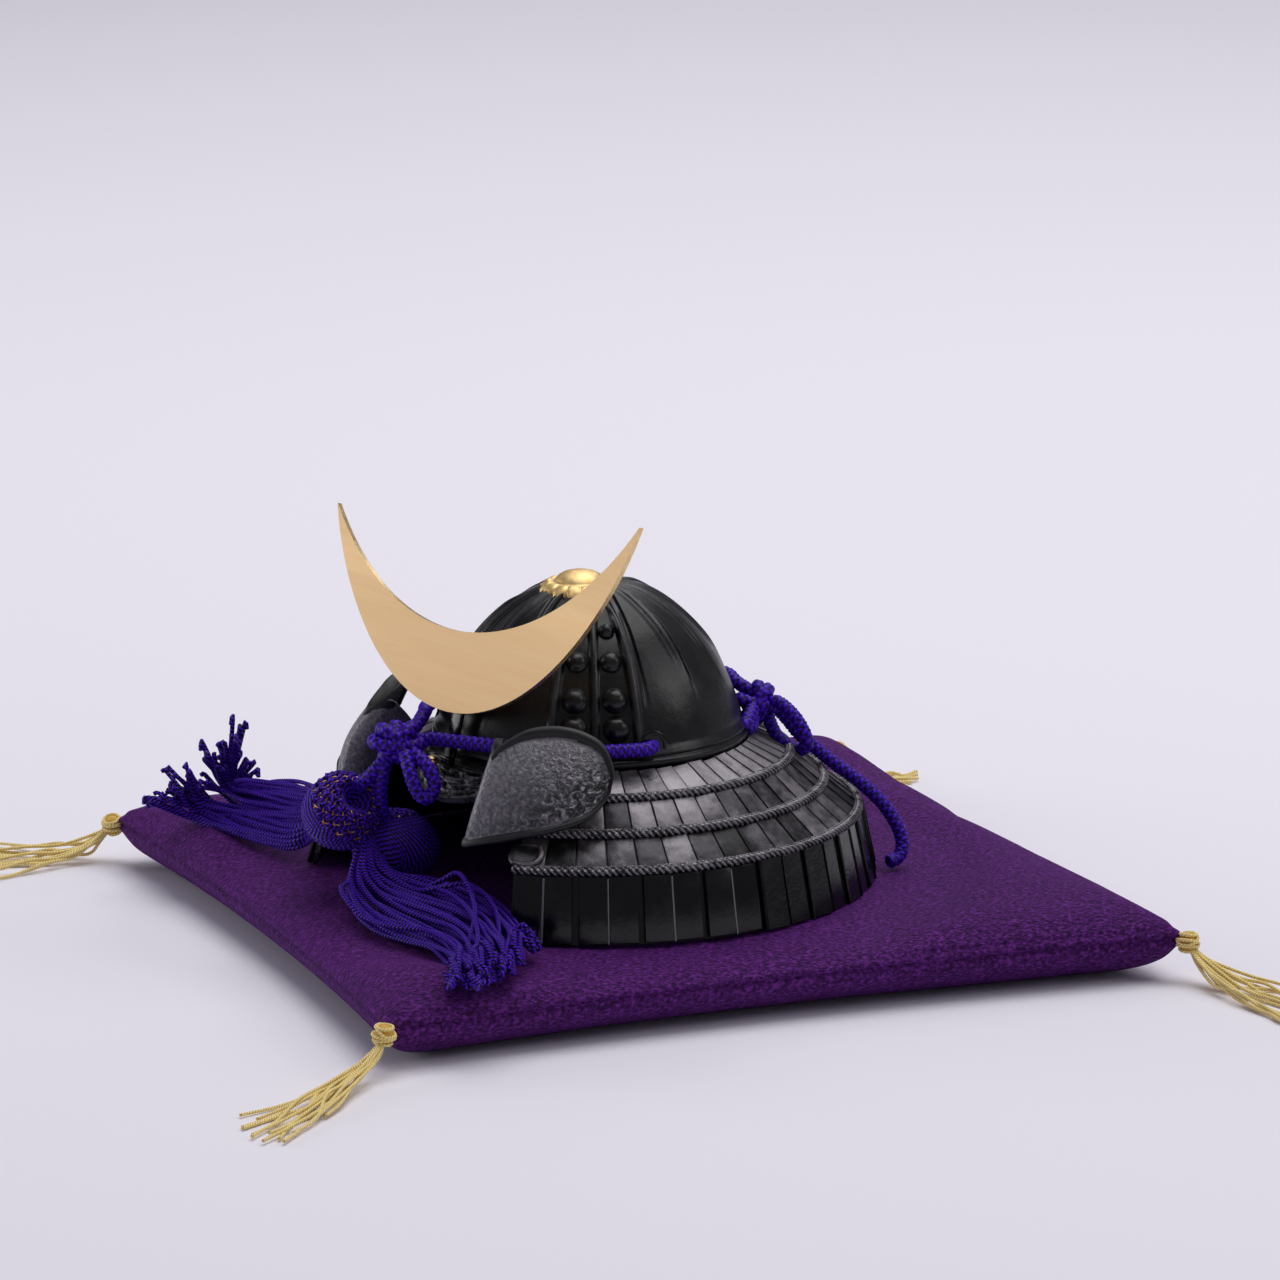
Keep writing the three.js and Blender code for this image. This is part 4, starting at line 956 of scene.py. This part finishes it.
def makeNeckRow(index):
    bm = bmesh.new()
    toneAndPaintedLight = bm.verts.layers.float.new("toneAndPaintedLight")
    bm.verts.layers.float.new("crown")
    rng = random.Random(index)
    top, foot, down, out = rowLine(index)
    long = (foot - top).length
    tall = index == guard["bottom"]
    plate = bottomPlate if tall else lacedPlate
    start, end = 0.2, long - plate["short"]
    arc = 360 - 2 * guard["open"]
    pitch = arc / guard["plates"]
    # backing wall, spun round the open arc
    wallEnd = long - plate["backing"]
    ring = []
    for along, lift in [(0.2, -0.9), (wallEnd, -0.9), (wallEnd, -guard["wall"]), (0.6, -guard["wall"])]:
        at = top + down * along + out * lift
        ring.append(bm.verts.new(polar(guard["open"] + 0.1, at.x, max(at.y, 0.02))))
    bmesh.ops.spin(bm, geom=[bm.faces.new(ring)], cent=(0, 0, 0), axis=(0, 0, 1), angle=math.radians(arc - 0.2),
                   steps=guard["plates"] * 3)
    for k in range(guard["plates"]):
        azimuth = guard["open"] + pitch * (k + 0.5)
        box = bmesh.ops.create_cube(bm, size=1)["verts"]
        edges = list({e for v in box for e in v.link_edges})
        # each plate's tone is random, plus its row's painted light
        shade = rng.random() + guard["paintedRowLight"][index]
        tilt = rng.uniform(-0.15, 0.15) + plate["lean"]
        even = k % 2 == 0
        shift = plate["shift"] if even else -plate["shift"]
        shorten = rng.uniform(*plate["uneven"])
        proud = plate["proud"][k % 2]
        for vert in box:
            along = start if vert.co.z > 0 else end - shorten
            lift = (proud if vert.co.y < 0 else proud - guard["plateThick"]) + tilt * vert.co.x * 2
            if even and vert.co.x > 0:
                lift += plate["step"]
            at = top + down * along + out * lift
            wide = math.radians(pitch) * at.x - guard["gap"] - plate["narrow"]
            angle = azimuth + math.degrees(vert.co.x * wide / at.x) + math.degrees(shift / at.x)
            vert.co = polar(angle, at.x, max(at.y, 0.02))
            vert[toneAndPaintedLight] = shade
        bmesh.ops.bevel(bm, geom=edges, offset=plate["bevel"], segments=2, profile=0.5, affect="EDGES", material=-1)
    plates = set(bm.faces)
    crown = bm.verts.layers.float["crown"]
    # the pale strip is a painted highlight standing for the bright raised edges between the pairs; it takes the lacing
    # material at full crown
    for k in range(1, guard["plates"], 2) if tall else ():  # a pale strip in the joint of each pair
        fillet = bmesh.ops.create_cube(bm, size=1)["verts"]
        azimuth = guard["open"] + pitch * k + rng.uniform(-0.1, 0.1)
        for vert in fillet:
            at = top + down * (0.8 if vert.co.z > 0 else long - 0.5) + out * (0.5 if vert.co.y < 0 else -1.0)
            vert.co = polar(azimuth + math.degrees(vert.co.x * guard["fillet"] / at.x), at.x, max(at.y, 0.05))
            vert[crown] = 1.0
    known = set(bm.verts)
    for rope in guard["ropes"] if not tall else ():
        at = top + down * (long - rope["up"]) + out * rope["lift"]
        route = [polar(guard["open"] + arc * i / 180, at.x, at.y) for i in range(181)]
        shape = plied(rope["diameter"], rope["plies"], rope["pitch"], 0.45)
        sweep(bm, smoothPath(route, 0.42), rope["sides"], shape, rope["hollow"], rope["diameter"] / 2)
    if not tall:
        closeTubes(bm, 12, known)
    paintNew(bm, plates)
    newPiece(f"neckRow{index + 1}", bm, [iron["skirt" if tall else "plates"], iron["ropes"]],
             [f"neck_row_{index + 1}"], sharpAngle=40)


# Small lobed tabs that close the third row's front ends
tab = {"azimuth": 41.2, "row": 2, "along": 0.52, "wide": 5.2, "tall": 4.3, "lift": 1.0, "rim": 0.9}


def makeRowTabs():
    bm = bmesh.new()
    toneAndPaintedLight = bm.verts.layers.float.new("toneAndPaintedLight")
    top, foot, down, out = rowLine(tab["row"])
    for side in (-1, 1):
        disc = bmesh.ops.create_grid(bm, x_segments=24, y_segments=20, size=0.5)["verts"]
        under = []
        for vert in disc:
            x, y = vert.co.x * 2, vert.co.y * 2
            reach = max(abs(x), abs(y))
            rounding = mix(1, reach / max(1e-6, math.hypot(x, y)), 0.8)
            x, y = x * rounding, y * rounding
            band = smoothStep(0.62, 0.8, reach) * (1 - smoothStep(0.9, 1.0, reach))
            rim = tab["rim"] * band * smoothStep(-0.4, 0.5, x - y)
            at = top.lerp(foot, tab["along"]) - down * y * tab["tall"]
            angle = tab["azimuth"] + math.degrees(x * tab["wide"] / at.x)
            # the raised rim is painted lighter as a highlight
            vert[toneAndPaintedLight] = rim
            outer, inner = at + out * (tab["lift"] * (1 - 0.7 * reach ** 6) + rim), at - out * 0.4
            vert.co = polar(side * angle, outer.x, outer.y)
            under.append(polar(side * angle, inner.x, inner.y))
        thicken(bm, list({f for v in disc for f in v.link_faces}), disc, under)
    newPiece("rowEndTabs", bm, [iron["plates"]], sharpAngle=50)


for index in range(4):
    makeNeckRow(index)
makeRowTabs()
print("stage: neck guard")

# Turned-back flaps: one section a row, from the guard's front end round the bend and back
flap = {"wall": 2.0, "rim": 1.25, "rimWidth": 2.4, "bend": 3, "bendDrop": 0.13, "length": 62, "groove": 1.2,
        "cells": (84, 60),
        # low point and high point as shares of the guard's radius and the rim's height, then the bulge between them
        "sections": [((0.43, -0.556, 0.79), (0.363, -0.469, 0.93), 0),
                     ((0.415, -0.634, 0.69), (0.354, -0.53, 1.1), 0.01),
                     ((0.378, -0.732, 0.607), (0.341, -0.604, 1.238), 0.03),
                     ((0.379, -0.779, 0.557), (0.375, -0.62, 1.262), 0.055),
                     ((0.46, -0.749, 0.598), (0.419, -0.564, 1.288), 0.055),
                     ((0.542, -0.684, 0.643), (0.458, -0.508, 1.31), 0.05),
                     ((0.616, -0.63, 0.686), (0.501, -0.454, 1.308), 0.045),
                     ((0.674, -0.546, 0.74), (0.555, -0.402, 1.272), 0.035),
                     ((0.694, -0.478, 0.802), (0.606, -0.37, 1.202), 0.02),
                     ((0.69, -0.41, 0.917), (0.662, -0.37, 1.045), 0.005)]}


# Smooth reading of a column of values, 0 at the first and 1 at the last
def between(values, share):
    last = len(values) - 1
    i = min(last - 1, int(share * last))
    t = share * last - i
    a, b, c, d = (values[min(last, max(0, i + k))] for k in (-1, 0, 1, 2))
    return (b * 2 + (c - a) * t + (a * 2 - b * 5 + c * 4 - d) * t * t + (b * 3 - a - c * 3 + d) * t ** 3) / 2


flapColumns = {"low": [Vector(s[0]) for s in flap["sections"]], "high": [Vector(s[1]) for s in flap["sections"]],
               "bulge": [s[2] for s in flap["sections"]]}


def flapPoint(side, s, t):
    # the top edge is rounded off where the flap bends
    t *= 1 - flap["bendDrop"] * max(0, 1 - abs(s - flap["bend"] / 9) / 0.15) ** 2
    point = between(flapColumns["low"], s).lerp(between(flapColumns["high"], s), t)
    bulge = between(flapColumns["bulge"], s) * math.sin(t * math.pi)
    return Vector((side * (point.x + bulge * 0.7) * guard["radius"], (point.y - bulge * 0.7) * guard["radius"],
                   point.z * bowl["rim"] + helmetBase))


def makeTurnBack(name, side):
    bm = bmesh.new()
    coarse = bm.verts.layers.float.new("coarse")
    along, across = flap["cells"]
    grid = bmesh.ops.create_grid(bm, x_segments=along, y_segments=across, size=0.5)["verts"]
    places = []
    bendShare = flap["bend"] / (len(flap["sections"]) - 1)
    for vert in grid:
        s, t = vert.co.x + 0.5, vert.co.y + 0.5
        at = flapPoint(side, s, t)
        run = flapPoint(side, min(1, s + 0.01), t) - flapPoint(side, max(0, s - 0.01), t)
        climb = flapPoint(side, s, min(1, t + 0.01)) - flapPoint(side, s, max(0, t - 0.01))
        normal = run.cross(climb).normalized() * side
        height = (flapPoint(side, s, 1) - flapPoint(side, s, 0)).length
        edge = min(t * height, (1 - t) * height)
        endEdge = (1 - s) * flap["length"] + 0.4 * edge
        near = min(edge, endEdge)
        beadShare = smoothStep(bendShare * 0.5, bendShare * 1.6, s)
        bead = 0.0
        if near < flap["rimWidth"]:
            off = (near - flap["rimWidth"] * 0.45) / (flap["rimWidth"] * 0.56)
            bead = flap["rim"] * beadShare * math.sqrt(max(0, 1 - off ** 2))
        elif near < flap["rimWidth"] + flap["groove"]:
            bead = -0.25 * beadShare * math.sin((near - flap["rimWidth"]) / flap["groove"] * math.pi)
        places.append((at, normal, bead))
        inside = smoothStep(flap["rimWidth"], flap["rimWidth"] + 1.5, near)
        vert[coarse] = smoothStep(0.42, 0.95, 0.75 * s + 0.4 * (1 - t)) * inside
    faces = list(bm.faces)
    rimVerts = {v for v, (at, normal, bead) in zip(grid, places) if bead > 0.05}
    for face in faces:
        face.material_index = 0 if rimVerts.isdisjoint(face.verts) else 1
    thicken(bm, faces, grid, [at + normal * (flap["wall"] / 2 + bead) for at, normal, bead in places])
    for vert, (at, normal, bead) in zip(grid, places):
        vert.co = at - normal * (flap["wall"] / 2 + max(0, bead) * 0.5)
    newPiece("turnBack" + name, bm, [chasedIron, iron["rim"]], ["turn_back_" + name.lower()],
             sharpAngle=60)


makeTurnBack("Left", 1)
makeTurnBack("Right", -1)
print("stage: turn-backs")

# Visor: a rough drooping brim under the rim, with two raised lines and a raised lower edge that is painted lighter as a
# highlight
visor = {"halfAngle": 34, "reach": 9.6, "drop": 10.8, "wall": 2.0, "cells": (150, 40), "below": 1.3,
         "lines": (1.4, 2.7), "line": 0.45, "bead": 0.5, "beadWidth": 1.1, "relief": 0.6}


def makeVisor():
    bm = bmesh.new()
    toneAndPaintedLight = bm.verts.layers.float.new("toneAndPaintedLight")
    along, across = visor["cells"]
    grid = bmesh.ops.create_grid(bm, x_segments=along, y_segments=across, size=0.5)["verts"]
    under = []
    for vert in grid:
        azimuth = vert.co.x * 2 * visor["halfAngle"]
        t = vert.co.y + 0.5
        swell = mix(0.25, 1, math.cos(azimuth / visor["halfAngle"] * math.pi / 2))
        radius = bowl["radius"] + visor["reach"] * swell * t ** 0.9
        height = bowl["rim"] - visor["below"] - visor["drop"] * swell * t ** 1.1
        ridge = visor["line"] * sum(max(0, 1 - abs(t * visor["reach"] * swell - at) / 0.5) for at in visor["lines"])
        bead = visor["bead"] * max(0, 1 - (1 - t) * visor["drop"] * swell / visor["beadWidth"])
        folds = 0.9 - 2.4 * abs(noise.fractal(Vector((azimuth * 0.12, t * 7, 3)), 0.9, 2.1, 3))
        rough = folds * smoothStep(0.3, 0.45, t) * (1 - smoothStep(0.86, 0.94, t))
        # tone: the lower edge and the fold crowns painted lighter as highlight, the fold hollows darker as shade
        vert[toneAndPaintedLight] = bead + 0.7 * rough
        raised = visor["relief"] * (ridge + bead + rough)
        vert.co = polar(azimuth, radius + raised, height + raised)
        under.append(polar(azimuth, radius - visor["wall"] * 0.7, height - visor["wall"] * 0.8))
    thicken(bm, list(bm.faces), grid, under)
    newPiece("visorBrim", bm, [iron["brim"]], ["visor"], sharpAngle=60)


makeVisor()
print("stage: visor")

# Cushion: a stuffed square cover, pressed flat under the helmet, with a puckered seam at mid height
cushion = {"side": 240, "top": 20, "swell": 4, "dent": 103, "slope": 18, "seam": 12.3, "pull": 5,
           "centre": (-9.4, 20.9), "turn": -13, "cells": 120, "seamDepth": 0.9, "fold": 2.9, "foldDepth": 0.75,
           "drawn": 0.003}
cushionCentre = Vector((*cushion["centre"], 0))


def turned(x, y):
    angle = math.radians(cushion["turn"])
    return Vector((x * math.cos(angle) - y * math.sin(angle), x * math.sin(angle) + y * math.cos(angle), 0))


def cushionPlace(u, v, upper):
    half = cushion["side"] / 2
    x = half * u - cushion["pull"] * u * (1 - v * v)
    y = half * v - cushion["pull"] * v * (1 - u * u)
    # plump right into the corners, which are drawn in a little
    a, b = abs(u) ** 64, abs(v) ** 64
    full = math.sqrt(max(0, 1 - (a + b - a * b) ** 0.125))
    corner = smoothStep(0.9, 1.0, abs(u)) * smoothStep(0.9, 1.0, abs(v))
    drawn = 1 - cushion["drawn"] * corner
    place = turned(x * drawn, y * drawn) + cushionCentre
    swell = cushion["swell"] * smoothStep(cushion["dent"], cushion["dent"] + cushion["slope"], place.length)
    rise = full * (cushion["top"] - cushion["seam"] + swell) if upper else -cushion["seam"] * min(1, full * 1.15)
    side = turned(abs(u) ** 24 * math.copysign(1, u), abs(v) ** 24 * math.copysign(1, v))
    ripple = noise.noise(place * 0.35)
    inward = cushion["seamDepth"] * max(0, 1 - abs(rise) / 0.9)
    if upper:
        inward += cushion["foldDepth"] * (0.7 + 0.6 * ripple) * max(0, 1 - abs(rise - cushion["fold"]) / 0.7)
        inward -= 0.35 * (1 + ripple) * max(0, 1 - abs(rise - cushion["fold"] * 0.5) / 1.0)
    place -= side * inward
    place.z = cushion["seam"] + rise + 0.35 * ripple * smoothStep(0.4, 2, abs(rise)) * (1 - smoothStep(3, 6, abs(rise)))
    if upper:
        place.z += 0.5 * noise.noise(place * 0.03) * smoothStep(112, 125, place.xy.length) * smoothStep(1, 5, rise)
    place.z += 0.9 * noise.noise(Vector((u * 2.1, v * 2.1, 4))) * (1 - smoothStep(0, 5, abs(rise)))
    return place


# A short cloth run fills the cover from inside; each point then moves by the cap at most, and not at seat and seam
filling = {"pressure": 3.0, "frames": 20, "cap": 0.7, "seat": 92, "slope": 56, "seam": (3.6, 6.5)}


def stuff(piece):
    trial = piece.copy()
    trial.data = piece.data.copy()
    bpy.context.collection.objects.link(trial)
    cloth = trial.modifiers.new("cloth", "CLOTH").settings
    cloth.quality, cloth.mass = 4, 0.4
    cloth.use_pressure, cloth.uniform_pressure_force = True, filling["pressure"]
    cloth.tension_stiffness = cloth.compression_stiffness = 18
    cloth.effector_weights.gravity = 0
    for step in range(1, filling["frames"] + 1):
        bpy.context.scene.frame_set(step)
    shaped = trial.evaluated_get(bpy.context.evaluated_depsgraph_get()).data
    for vert, new in zip(piece.data.vertices, shaped.vertices):
        level = vert.co.xy.length * 1000
        rise = abs(vert.co.z * 1000 - cushion["seam"])
        free = smoothStep(filling["seat"], filling["seat"] + filling["slope"], level) * smoothStep(*filling["seam"],
                rise)
        move = (new.co - vert.co) * free
        if move.length > filling["cap"] / 1000:
            move *= filling["cap"] / 1000 / move.length
        vert.co += move
        vert.co.z = max(vert.co.z, 0)
    bpy.data.objects.remove(trial)
    bpy.context.scene.frame_set(1)


def makeCushion():
    bm = bmesh.new()
    for upper in (True, False):
        grid = bmesh.ops.create_grid(bm, x_segments=cushion["cells"], y_segments=cushion["cells"], size=1)["verts"]
        for vert in grid:
            vert.co = cushionPlace(math.sin(vert.co.x * math.pi / 2), math.sin(vert.co.y * math.pi / 2), upper)
    bmesh.ops.remove_doubles(bm, verts=bm.verts, dist=0.04)
    piece = newPiece("cushionCover", bm, [purpleCrepe], ["cushion"])
    stuff(piece)


makeCushion()
print("stage: cushion")

# Gold corner tassels: a small wound knot and thin twisted threads that lie on the floor
goldThread = {"count": 15, "diameter": 1.0, "sides": 6, "spacing": 0.7, "knot": 3.4, "lie": 0.7}
goldTassels = {
    "front": {"corner": (1, -1), "ends": [(243, 1128), (252, 1136), (262, 1141), (271, 1133), (282, 1142), (297, 1137),
                                          (238, 1118), (289, 1127), (258, 1122)]},
    "left": {"corner": (-1, -1), "ends": [(-30, 872), (-24, 862), (-36, 850), (-20, 880), (-10, 857), (-28, 842),
                                          (-40, 865), (-16, 868)]},
    "right": {"corner": (1, 1), "ends": [(1330, 1032), (1342, 1022), (1348, 1008), (1322, 1040), (1338, 1000),
                                         (1310, 1030), (1326, 1014), (1345, 1030)]},
    "back": {"corner": (-1, 1), "ends": [(916, 778), (912, 783), (905, 786), (918, 772), (898, 784), (920, 781),
                                         (908, 779), (902, 775)]},
}


def makeGoldTassel(name, settings):
    bm = bmesh.new()
    rng = random.Random(name)
    out = turned(*settings["corner"]).normalized()
    knot = cushionCentre + out * (cushion["side"] / math.sqrt(2) + goldThread["knot"] - 2.4)
    knot.z = cushion["seam"] - 0.8
    side = Vector((-out.y, out.x, 0))

    # turns of thread round a small ball
    for k in range(5):
        tilt = rng.uniform(-0.7, 0.7)
        axis = (Vector((0, 0, 1)) * math.cos(tilt) + side * math.sin(tilt)).normalized()
        start = axis.orthogonal().normalized()
        other = axis.cross(start)
        shift = axis * (k - 2) * 1.05
        wide = math.sqrt(max(0.5, goldThread["knot"] ** 2 - shift.length ** 2)) - 0.3
        ring = [knot + shift + (start * math.cos(i * 0.64) + other * math.sin(i * 0.64)) * wide for i in range(11)]
        addThread(bm, ring, goldThread)
    core = bmesh.ops.create_uvsphere(bm, u_segments=16, v_segments=10, radius=goldThread["knot"] - 0.6)
    bmesh.ops.translate(bm, vec=knot, verts=core["verts"])
    for k in range(goldThread["count"]):
        x, y = settings["ends"][k % len(settings["ends"])]
        goal = seenAt(x + rng.uniform(-3, 3), y + rng.uniform(-3, 3), height=goldThread["lie"] - helmetBase)
        if k % 6 == 5:
            goal = goal.lerp(knot, 0.3)
        spread = side * rng.uniform(-4, 4)
        heading = goal - knot
        heading.z = 0
        first = knot + heading.normalized() * 5 + spread * 0.3
        first.z = cushion["seam"] * rng.uniform(0.45, 0.7)
        route = [knot, first]
        for share in (0.34, 0.55, 0.78):
            point = knot + heading * share + spread * math.sin(share * math.pi) + side * rng.uniform(-1.6, 1.6)
            lift = rng.uniform(0, 2.2) + (2.5 * (0.6 - share) if share < 0.5 else 0)
            point.z = goldThread["lie"] + (lift if share < 0.7 else 0) + k % 3 * 0.5
            route.append(point)
        route.append(Vector((goal.x, goal.y, goldThread["lie"] + rng.uniform(0, 0.6))))
        addThread(bm, route, goldThread)
    closeTubes(bm, goldThread["sides"])
    newPiece("goldTassel_" + name, bm, [goldTwist], ["corner_tassel_" + name])


for name, settings in goldTassels.items():
    makeGoldTassel(name, settings)
print("stage: gold tassels")

# Floor and soft studio light
studio = {"floor": "#eae7f0", "world": "#e6e4f0", "worldStrength": 0.25,
          # place in metres, size, watts and the point that each softbox faces
          "lights": [((-0.15, 0.6, 2.4), 2.2, 42, (-0.05, 0.15, 0)), ((-1.9, -1.45, 0.55), 1.3, 17, (0, 0, 0.08)),
                     ((-1.9, 1.7, 1.9), 1.6, 12, (-1.6, 1.3, 0)), ((1.5, 1.6, 1.5), 1.0, 9, (0, 0, 0.05))]}


def makeStudio():
    bm = bmesh.new()
    bmesh.ops.create_grid(bm, x_segments=1, y_segments=1, size=12)
    mesh = bpy.data.meshes.new("floor")
    bm.to_mesh(mesh)
    bm.free()
    floor = bpy.data.objects.new("floor", mesh)
    bpy.context.collection.objects.link(floor)
    material, tree = startMaterial("paperFloor")
    endMaterial(tree, {"Base Color": studio["floor"], "Roughness": 0.9, "Specular IOR Level": 0.1}, {})
    mesh.materials.append(material)
    world = bpy.data.worlds.new("studio")
    world.use_nodes = True
    world.node_tree.nodes["Background"].inputs[0].default_value = linear(studio["world"])
    world.node_tree.nodes["Background"].inputs[1].default_value = studio["worldStrength"]
    bpy.context.scene.world = world
    for place, size, power, goal in studio["lights"]:
        data = bpy.data.lights.new("softbox", "AREA")
        data.size, data.energy = size, power
        lamp = bpy.data.objects.new("softbox", data)
        lamp.location = place
        lamp.rotation_euler = (Vector(goal) - Vector(place)).to_track_quat("-Z", "Y").to_euler()
        bpy.context.collection.objects.link(lamp)


makeStudio()
print("stage: studio")
